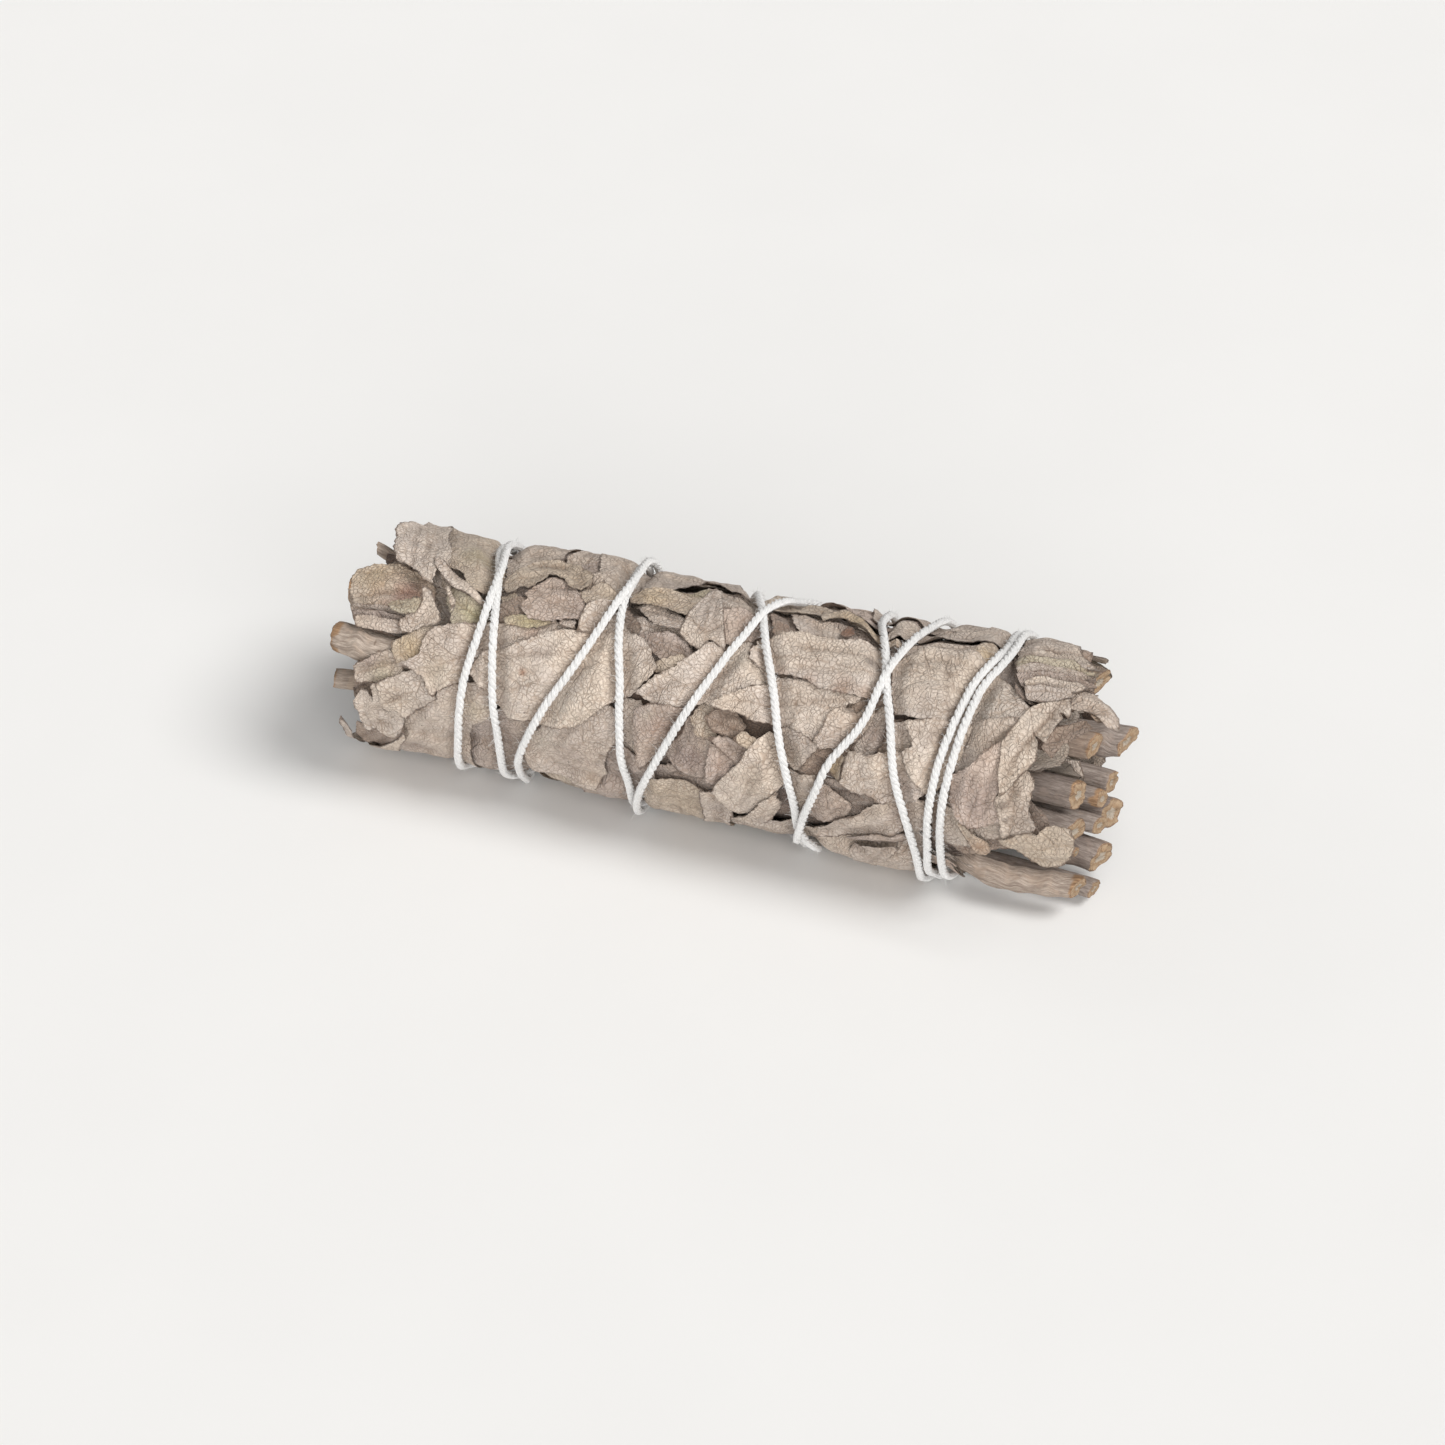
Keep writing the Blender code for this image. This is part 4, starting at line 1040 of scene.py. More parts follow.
    ("leaf_cap_left", 1.0, "pale", "(436,556)(444,562)(450,570)(463,580)(474,590)(486,601)(484,605)(470,594)(456,588)(449,583)(443,574)(437,566)",
     dict(crenate=0.03, torn=0.06, bulge=0.5)),
    ("leaf_shoulder_1", 0.9, "pale", "(424,586)(430,590)(434,598)(437,608)(441,618)(437,623)(425,625)(417,628)(411,631)(404,631)(399,626)(398,621)(404,617)(411,613)(417,608)(422,602)(422,592)",
     dict(bulge=0.6, curl=0.5)),
    ("leaf_shoulder_1", 0.7, "olive", "(389,603)(400,600)(415,599)(422,600)(414,609)(403,612)(394,609)", {}),
    ("leaf_shoulder_1", 0.8, "grey", "(437,629)(455,626)(476,623)(498,624)(520,623)(540,622)(553,620)(566,624)(574,627)(565,629)(553,630)(541,633)(530,637)(520,641)(513,645)(505,647)(498,646)(488,647)(478,650)(468,655)(461,668)(460,680)(458,685)(446,687)(440,688)(435,691)(432,696)(430,690)(427,683)(422,675)(415,671)(408,667)(400,665)(412,660)(420,656)(423,645)(428,635)",
     dict(folds=[("(432,650)(470,638)(540,630)", 0.5, 0.6), ("(430,676)(450,662)(472,644)", -0.3, 0.5)], blobs=[B(440, 672, 4, CREAM, 0.35), B(532, 629, 2.5, RUST, 0.3)])),
    # ---- left middle
    ("leaf_low_3", 0.0, "grey", "(520,750)(540,731)(570,727)(600,708)(614,715)(614,740)(605,752)(602,762)(602,778)(594,788)(570,781)(552,774)(528,771)",
     dict(folds=[("(536,750)(575,746)(606,735)", 0.4, 0.6)], blobs=[B(575, 765, 5, MAUVE, 0.3), B(540, 745, 3, CREAM, 0.3)])),
    ("leaf_large_front", 0.55, "pale", "(466,678)(470,665)(478,655)(490,650)(505,648)(520,642)(541,634)(560,629)(575,630)(590,626)(605,612)(612,606)(620,612)(625,625)(632,633)(645,640)(650,655)(655,668)(650,676)(640,682)(632,690)(625,697)(612,703)(600,709)(592,714)(585,720)(578,724)(570,728)(553,730)(530,729)(512,723)(504,718)(495,711)(487,703)(480,694)(472,684)",
     dict(folds=[("(484,692)(500,690)(545,683)(590,676)(610,672)(632,671)(648,677)", 0.35, 0.45), ("(505,660)(545,650)(590,644)", -0.25, 0.9)], bulge=0.5, crumple=0.32,
          blobs=[B(520, 673, 0.8, RUST, 0.8), B(560, 700, 5, CREAM, 0.3)])),
    ("leaf_top_1", 0.4, "grey", "(512,548)(520,542)(530,539)(545,531)(552,529)(565,532)(580,538)(593,544)(600,548)(599,551)(588,550)(576,553)(563,556)(548,559)(535,562)(520,567)(508,571)(510,558)",
     dict(folds=[("(520,552)(550,544)(586,546)", 0.35, 0.5)])),
    ("leaf_top_1", 0.5, "grey", "(600,545)(612,548)(628,551)(645,556)(655,562)(662,570)(655,578)(645,588)(635,590)(625,587)(613,587)(607,586)(604,578)(602,570)(601,560)(600,552)",
     dict(folds=[("(606,556)(630,566)(650,574)", 0.4, 0.6)], blobs=[B(626, 578, 3, CREAM, 0.3)])),
    ("leaf_large_front", 0.3, "grey", "(571,588)(582,588)(590,581)(592,573)(599,573)(603,581)(597,584)(583,591)", dict(bulge=0.5)),
    ("leaf_large_front", 0.2, "tan", "(580,591)(590,590)(600,585)(610,588)(618,592)(620,600)(605,597)(590,602)(582,598)", {}),
    ("leaf_large_front", 0.2, "grey", "(561,616)(575,617)(574,627)(562,625)", dict(bulge=0.5)),
    ("leaf_large_front", 0.5, "tan", "(505,617)(528,619)(553,618)(553,624)(530,626)(506,625)", dict(blobs=[B(528, 621, 4, OLIVE, 0.6)], bulge=0.5)),
    ("leaf_large_front", 0.5, "pink", "(530,600)(527,593)(532,587)(540,582)(548,577)(556,577)(565,580)(572,588)(578,595)(584,605)(583,612)(578,617)(560,618)(545,619)(530,619)(523,605)",
     dict(bulge=0.9, folds=[("(534,606)(556,592)(574,596)", 0.4, 0.6)])),
    ("leaf_top_1", 0.6, "tan", "(507,573)(520,568)(535,563)(545,560)(558,559)(570,563)(580,568)(588,573)(592,578)(588,585)(580,590)(573,588)(565,578)(555,573)(548,572)(543,577)(535,581)(528,587)(520,584)(515,590)(508,587)(504,580)",
     dict(bulge=0.7, folds=[("(512,578)(548,566)(582,578)", 0.4, 0.5)])),
    ("leaf_large_front", 0.7, "pale", "(589,604)(600,602)(613,602)(612,608)(605,616)(598,623)(588,628)(577,632)(580,622)(585,612)", dict(bulge=0.5, crenate=0.03)),
    # ---- top middle
    ("leaf_top_2", 0.5, "grey", "(645,578)(655,572)(660,556)(670,563)(680,571)(695,574)(712,576)(725,579)(740,586)(750,594)(733,589)(715,580)(705,579)(695,581)(685,584)(660,589)(645,588)",
     dict(curl=0.5, folds=[("(660,572)(700,578)(738,588)", 0.3, 0.5)])),
    ("leaf_shoulder_2", 0.5, "tan", "(633,590)(650,591)(668,590)(685,594)(700,598)(707,598)(700,604)(694,609)(688,613)(680,610)(672,607)(662,604)(650,601)(640,600)(633,597)",
     dict(folds=[("(640,596)(694,603)", 0.3, 0.4)], blobs=[B(655, 596, 3, SAND, 0.5)])),
    ("leaf_shard", 0.9, "pale", "(700,604)(707,598)(713,592)(722,590)(722,608)(723,625)(724,640)(723,645)(718,643)(713,640)(708,638)(704,644)(700,649)(690,643)(680,634)(683,625)(687,617)(692,610)",
     dict(folds=[("(702,606)(694,636)", 0.25, 0.5), ("(716,598)(718,640)", -0.3, 0.5)], crenate=0.03, torn=0.1, curl=0.45)),
    ("leaf_mid_1", 0.5, "pale", "(633,693)(640,686)(650,679)(662,673)(676,667)(688,656)(698,650)(708,641)(716,643)(724,647)(735,642)(748,634)(752,640)(750,648)(749,658)(757,662)(765,667)(769,675)(768,682)(755,685)(742,690)(728,696)(715,698)(700,703)(690,707)(680,708)(668,706)(658,706)(650,702)(643,698)",
     dict(bulge=0.55, folds=[("(645,694)(690,684)(740,664)", 0.35, 0.5), ("(700,655)(720,676)", 0.3, 0.6)], blobs=[B(735, 655, 2.5, CREAM, 0.4)])),
    ("leaf_mid_2", 0.45, "pale", "(704,703)(715,699)(728,696)(742,690)(755,685)(768,682)(772,674)(792,676)(808,680)(826,688)(850,693)(862,696)(856,701)(848,702)(843,707)(836,709)(831,712)(828,718)(825,724)(821,731)(816,737)(812,742)(803,738)(796,734)(786,729)(776,727)(766,723)(755,722)(747,719)(740,715)(732,711)(722,709)(712,707)",
     dict(bulge=0.5, folds=[("(720,704)(760,704)(800,698)(850,697)", 0.3, 0.4), ("(797,690)(795,700)(791,715)(788,727)", -0.35, 0.35)], crenate=0.09)),
    # the near-black blob on this leaf is painted shade where a hole between the leaves shows
    ("leaf_mid_2", 0.5, "grey", "(814,741)(823,729)(830,715)(835,710)(842,708)(850,712)(856,716)(862,708)(872,707)(868,720)(860,732)(852,740)(842,746)(826,746)(818,745)",
     dict(folds=[("(826,738)(850,724)", 0.35, 0.5)], blobs=[B(849, 709, 1.2, DARK, 0.7)])),
    ("leaf_top_3", 0.45, "tan", "(762,595)(775,592)(790,594)(805,600)(820,604)(835,606)(848,610)(860,616)(870,622)(878,630)(862,627)(855,618)(847,612)(838,612)(828,614)(800,611)(770,607)",
     dict(folds=[("(780,600)(830,609)", 0.35, 0.5)], curl=0.45)),
    ("leaf_shoulder_3", 0.75, "pale", "(757,640)(764,635)(775,633)(790,632)(805,634)(820,636)(838,638)(858,639)(875,641)(884,645)(886,660)(884,675)(880,686)(872,694)(860,694)(848,692)(838,690)(828,688)(818,687)(811,683)(803,678)(795,676)(790,673)(782,671)(770,669)(763,665)(757,661)(750,658)(749,650)",
     dict(bulge=0.5, folds=[("(760,652)(800,658)(870,668)", 0.3, 0.45)], crenate=0.13, curl=0.4,
          blobs=[B(870, 658, 1.5, DARK, 0.65), B(840, 688, 2.6, RUST, 0.45), B(808, 680, 2.2, RUST, 0.4), B(780, 669, 2.0, RUST, 0.3), B(866, 690, 2.0, RUST, 0.35)])),
    # ---- right middle
    ("leaf_top_4", 0.5, "grey", "(888,632)(892,624)(902,619)(915,620)(930,624)(945,628)(960,631)(980,632)(1000,633)(1012,636)(1005,640)(985,641)(970,640)(955,636)(928,632)(902,630)",
     dict(curl=0.5)),
    ("leaf_shoulder_4", 0.8, "pale", "(892,660)(896,655)(903,650)(912,646)(925,645)(938,647)(950,649)(962,650)(975,652)(985,656)(992,662)(1003,672)(1012,685)(1020,695)(1027,703)(1031,708)(1027,714)(1022,717)(1010,718)(998,719)(985,720)(972,720)(950,722)(930,718)(918,716)(905,714)(893,713)",
     dict(bulge=0.55, folds=[("(948,652)(946,690)(948,720)", -0.3, 0.35), ("(900,690)(960,684)(1020,704)", 0.3, 0.5)], crenate=0.05,
          blobs=[B(990, 700, 4, CREAM, 0.3)])),
    ("leaf_low_8", 0.4, "grey", "(972,722)(998,720)(1020,718)(1008,733)(1003,742)(985,754)(965,770)(952,778)(953,765)(965,735)",
     dict(folds=[("(962,765)(990,738)", 0.4, 0.6)])),
    # ---- lower front
    ("leaf_low_4", 0.45, "mauve", "(634,712)(640,707)(648,705)(658,706)(668,707)(684,710)(678,718)(668,732)(660,745)(652,757)(644,768)(640,773)(635,755)(633,742)(632,728)",
     dict(bulge=0.5, blobs=[B(655, 728, 3, RUST, 0.25), B(646, 716, 1.6, CREAM, 0.4)])),
    ("leaf_low_5", 0.3, "tan", "(648,786)(658,784)(670,786)(683,788)(693,791)(701,795)(702,803)(701,812)(699,820)(696,832)(688,832)(678,829)(668,822)(660,815)(652,806)(641,797)",
     dict(folds=[("(656,794)(684,804)(696,824)", 0.35, 0.5)], curl=0.5)),
    ("leaf_low_5", 0.45, "grey", "(702,794)(708,796)(714,800)(722,806)(728,812)(728,818)(725,822)(726,826)(716,825)(704,822)(703,803)", dict(curl=0.4)),
    ("leaf_low_6", 0.7, "pale", "(711,793)(716,785)(724,777)(733,768)(742,758)(751,748)(760,739)(767,733)(770,738)(771,748)(774,760)(778,772)(781,783)(779,790)(772,795)(766,800)(758,808)(752,815)(748,818)(738,817)(730,812)(722,805)",
     dict(bulge=0.5, crenate=0.05, folds=[("(770,750)(763,765)(757,780)(750,795)(748,815)", 0.35, 0.35), ("(763,766)(735,780)(722,790)", 0.25, 0.35)])),
    ("leaf_low_6", 0.5, "grey", "(748,818)(756,811)(764,803)(776,793)(775,806)(774,815)(768,824)(758,826)", {}),
    ("leaf_mid_3", 0.3, "grey", "(779,728)(790,732)(800,737)(810,743)(815,746)(808,753)(802,760)(795,770)(790,772)(785,765)(783,752)",
     dict(folds=[("(786,740)(798,756)", 0.35, 0.5)])),
    ("leaf_low_7", 0.35, "grey", "(814,838)(818,832)(828,827)(838,823)(848,820)(858,819)(865,814)(875,809)(885,808)(905,809)(912,806)(918,808)(923,825)(922,838)(900,839)(870,838)(840,839)",
     dict(folds=[("(830,833)(880,822)(918,824)", 0.4, 0.6)], blobs=[B(900, 822, 3, MAUVE, 0.35)])),
    ("leaf_low_7", 0.1, "mauve", "(845,840)(872,838)(900,840)(908,849)(878,848)(855,846)", dict(bulge=0.5)),
    ("leaf_low_7", 0.1, "grey", "(852,851)(870,847)(897,852)(880,858)(860,856)", dict(bulge=0.5)),
    ("leaf_mid_3", 0.7, "pale", "(848,752)(858,753)(868,756)(880,755)(895,754)(910,752)(925,748)(938,745)(940,755)(935,770)(928,785)(924,797)(915,803)(905,808)(895,808)(880,805)(868,800)(856,795)(845,790)(837,785)(840,775)(842,763)",
     dict(bulge=0.5, folds=[("(846,778)(890,778)(932,762)", 0.3, 0.45), ("(860,790)(884,780)", 0.2, 0.4)], blobs=[B(900, 795, 4, MAUVE, 0.3)])),
    ("leaf_mid_3", 0.9, "tan", "(822,768)(830,765)(840,760)(842,757)(838,765)(837,782)(832,780)(827,775)", dict(blobs=[B(830, 770, 3, SAND, 0.7)], bulge=0.5)),
    ("leaf_mid_3", 0.6, "pale", "(903,722)(930,719)(973,720)(967,738)(955,760)(945,776)(938,790)(925,799)(908,775)(902,752)(914,747)(911,735)",
     dict(bulge=0.4, folds=[("(912,730)(940,744)(958,748)", 0.25, 0.5)], grow=0.2)),
    # ---- bits caught between the leaves
    ("leaf_top_3", 1.2, "tan", "(821,617)(832,611)(846,609)(859,616)(873,626)(887,635)(903,637)(903,642)(885,641)(870,632)(856,622)(845,615)(832,617)(823,621)",
     dict(crenate=0.0, torn=0.03, curl=0.0, grow=0.0, bulge=1.2, blobs=[B(860, 622, 5, SAND, 0.6)])),
    ("leaf_top_3", 0.8, "brown", "(840,632)(843,627)(849,625)(855,629)(855,635)(849,638)(843,637)",
     dict(crenate=0.02, torn=0.03, curl=0.0, grow=0.0, bulge=2.6, blobs=[B(848, 632, 2, RUST, 0.75)])),
    ("leaf_low_8", 1.0, "tan", "(959,820)(967,828)(975,837)(987,846)(990,853)(985,858)(977,856)(971,849)(965,839)(957,827)",
     dict(crenate=0.0, torn=0.03, curl=0.0, grow=0.0, bulge=2.4, blobs=[B(980, 850, 2.2, RUST, 0.45)])),
    # ---- right end
    ("leaf_mid_4", -1.0, "brown", "(1016,640)(1060,634)(1080,646)(1096,660)(1094,684)(1082,696)(1060,704)(1030,704)(1016,690)", dict(grow=0.3, crumple=0.4)),
    ("leaf_low_8", 0.5, "pink", "(950,780)(960,774)(970,768)(978,760)(985,752)(999,743)(998,765)(999,780)(997,792)(993,798)(997,808)(998,821)(980,827)(972,826)(962,821)(948,808)(947,800)",
     dict(bulge=0.5, folds=[("(956,800)(976,784)(996,760)", 0.4, 0.6)], blobs=[B(975, 800, 4, MAUVE, 0.3)])),
    ("leaf_low_8", 0.2, "grey", "(997,800)(1008,792)(1015,785)(1020,778)(1025,772)(1030,778)(1030,788)(1027,797)(1025,806)(1026,814)(1029,822)(1033,830)(1028,834)(1018,836)(1000,841)(1002,825)(999,812)",
     dict(crumple=0.5, blobs=[B(1001, 806, 1.0, DARK, 0.7), B(1005, 822, 1.0, DARK, 0.7)])),
    ("leaf_low_8", 0.5, "tan", "(1000,842)(1010,840)(1030,836)(1037,838)(1042,834)(1050,831)(1060,831)(1067,833)(1070,840)(1069,847)(1066,862)(1058,867)(1042,869)(1028,861)(1018,855)(1008,848)",
     dict(curl=0.5, folds=[("(1010,846)(1040,850)(1064,842)", 0.4, 0.5)])),
    ("leaf_mid_4", 0.0, "brown", "(1044,748)(1052,732)(1064,723)(1086,718)(1092,724)(1074,731)(1060,741)(1050,756)", dict(crenate=0.03)),
    ("leaf_mid_4", 0.4, "tan", "(1066,701)(1078,696)(1090,699)(1101,706)(1105,718)(1099,718)(1091,709)(1080,704)(1070,708)",
     dict(crenate=0.03, curl=0.8, blobs=[B(1088, 702, 4, RUST, 0.6)])),
    ("leaf_mid_4", -0.9, "grey", "(1052,690)(1074,686)(1096,690)(1108,696)(1116,708)(1115,722)(1108,722)(1096,712)(1076,706)(1054,706)", dict(crenate=0.03)),
    ("leaf_mid_4", 0.8, "pale", "(1000,795)(999,780)(1000,765)(1001,750)(1003,742)(1008,732)(1015,725)(1023,717)(1030,710)(1038,706)(1048,702)(1058,699)(1066,698)(1072,700)(1071,715)(1068,719)(1060,712)(1062,718)(1057,722)(1050,735)(1046,742)(1040,735)(1032,729)(1033,737)(1037,752)(1036,758)(1027,770)(1018,777)(1010,788)",
     dict(bulge=0.8, curl=0.7, crenate=0.03, folds=[("(1006,780)(1014,740)(1050,708)", 0.4, 0.6)], blobs=[B(1040, 745, 1.6, DARK, 0.5)])),
    ("leaf_top_4", 0.1, "grey", "(1024,638)(1050,634)(1068,640)(1080,650)(1066,648)(1046,645)(1026,646)", dict(bulge=2.7, crenate=0.02)),
    ("leaf_top_4", 0.2, "grey", "(1020,646)(1046,644)(1072,648)(1092,657)(1070,655)(1046,651)(1022,653)", dict(bulge=2.7, crenate=0.02)),
    ("leaf_mid_4", 0.3, "pale", "(1018,654)(1046,651)(1074,654)(1101,665)(1076,663)(1046,659)(1022,661)", dict(bulge=2.7, crenate=0.02)),
    ("leaf_mid_4", 0.2, "olive", "(1016,661)(1046,658)(1070,660)(1098,671)(1070,670)(1044,666)(1020,668)", dict(bulge=2.7, crenate=0.02, blobs=[B(1060, 665, 6, CREAM, 0.5)])),
    ("leaf_mid_4", 0.4, "grey", "(1016,669)(1042,666)(1066,668)(1093,676)(1066,677)(1042,674)(1020,676)", dict(bulge=2.7, crenate=0.02)),
    ("leaf_mid_4", 0.3, "mauve", "(1018,676)(1040,674)(1062,675)(1098,682)(1070,684)(1046,683)(1024,685)", dict(bulge=2.7, crenate=0.02)),
    ("leaf_mid_4", 0.5, "pale", "(1024,684)(1040,680)(1062,682)(1078,683)(1087,688)(1076,694)(1060,692)(1044,691)(1030,692)", dict(bulge=3.0, crenate=0.02)),
    ("leaf_mid_4", 0.4, "grey", "(1026,690)(1044,690)(1066,694)(1078,698)(1060,701)(1040,702)(1030,698)", dict(bulge=2.7, crenate=0.02)),
]


def traced_leaves():
    for k, (name, level, tone, text, extra) in enumerate(TRACED):
        extra = dict(extra)
        # margins run on under the leaves that lie over them
        extra.setdefault("grow", 0.15 if tone == "pale" else 0.35)
        extra["folds"] = [(outline(f[0]), f[1], f[2]) for f in extra.get("folds", [])]
        lay_leaf(leaf_piece(name, *([] if name in PIECES else [name])), outline(text), level, tone, 300 + 41 * k, grid=0.37, **extra)


# --------------------------------------------------------------------- stems
# name, diameters at the left and right end, centre line (x, y, z from the axis)
STEMS = [
    ("stem_01", 1.9, 3.8, [(-49.6, 3.0, 10.6), (-42, 2.6, 7.9), (0, 4.6, 7.4), (36, 6.9, 6.6), (46.6, 8.6, 8.9)], "warm"),
    ("stem_02", 3.2, 4.3, [(-36, 6.4, 1.5), (0, 7.6, 0.6), (38, 8.4, -0.6), (50.6, 10.0, -1.0)], "grey"),
    ("stem_03", 3.9, 3.7, [(-50, -5, 9.5), (-42, -4.4, 6.5), (0, -1.5, 5.0), (38, 1.2, 4.4), (47.9, 2.0, 3.9)], "warm"),
    ("stem_04", 2.6, 3.3, [(-34, 1.8, 0.4), (0, 3.6, -1.6), (38, 5.4, -3.8), (49.6, 6.0, -4.8)], "grey"),
    ("stem_05", 4.1, 4.0, [(-50.1, -10.4, 6.1), (-44, -10.9, 5.9), (-38, -10.3, 5.2), (-29, -7.6, 3.0), (0, -4.0, 0.8), (36, -1.9, -0.9), (47.1, -1.5, -1.6)], "dark"),
    ("stem_06", 2.2, 2.5, [(-30, -1.6, 0.9), (0, -0.4, -1.7), (38, 1.3, -3.3), (49.2, 1.6, -4.0)], "grey"),
    ("stem_07", 3.6, 4.2, [(-38, 4.0, -5.8), (0, 4.0, -6.9), (38, 3.8, -7.7), (50.5, 3.9, -8.1)], "dark"),
    ("stem_08", 2.2, 2.6, [(-32, -0.6, -4.3), (0, -0.2, -5.3), (38, 0.1, -6.4), (49.6, 0.1, -7.1)], "grey"),
    ("stem_09", 2.8, 3.9, [(-50.8, -10.3, -1.2), (-42, -8.1, -2.0), (0, -5.5, -3.4), (38, -3.9, -4.9), (47.5, -3.9, -5.5)], "grey"),
    ("stem_10", 3.2, 4.3, [(-36, -0.8, -7.9), (0, -1.1, -8.8), (38, -1.3, -9.3), (50.6, -1.3, -11.2)], "dark"),
    ("stem_11", 2.6, 3.1, [(-28, -4.6, -6.2), (0, -5.4, -7.0), (24, -6.2, -8.2), (32, -7.4, -10.0), (38, -8.4, -11.4), (49.2, -8.0, -10.8)], "pale"),
    ("stem_12", 1.8, 2.7, [(30, -4.0, -12.4), (40, -4.4, -12.9), (50.5, -4.9, -13.4)], "grey"),
    ("twig", 1.1, 1.4, [(33, -4.2, -7.6), (40, -4.2, -8.2), (47.5, -4.2, -8.6)], "warm"),
]
BARKS = {"grey": (0.37, 0.325, 0.298), "dark": (0.315, 0.272, 0.248), "warm": (0.37, 0.30, 0.25), "pale": (0.49, 0.42, 0.365)}


def spline(points, at):
    """Catmull-Rom through points by x; returns y, z at given x."""
    xs = [p[0] for p in points]
    out = []
    for x in at:
        i = min(max(np.searchsorted(xs, x) - 1, 0), len(xs) - 2)
        p0, p1, p2, p3 = points[max(i - 1, 0)], points[i], points[i + 1], points[min(i + 2, len(xs) - 1)]
        t = (x - p1[0]) / (p2[0] - p1[0])
        h = p2[0] - p1[0]
        row = []
        for c in (1, 2):
            m1 = (p2[c] - p0[c]) / ((p2[0] - p0[0]) or 1)
            m2 = (p3[c] - p1[c]) / ((p3[0] - p1[0]) or 1)
            row.append((2 * t**3 - 3 * t**2 + 1) * p1[c] + (t**3 - 2 * t**2 + t) * m1 * h + (-2 * t**3 + 3 * t**2) * p2[c] + (t**3 - t**2) * m2 * h)
        out.append(row)
    return np.array(out)


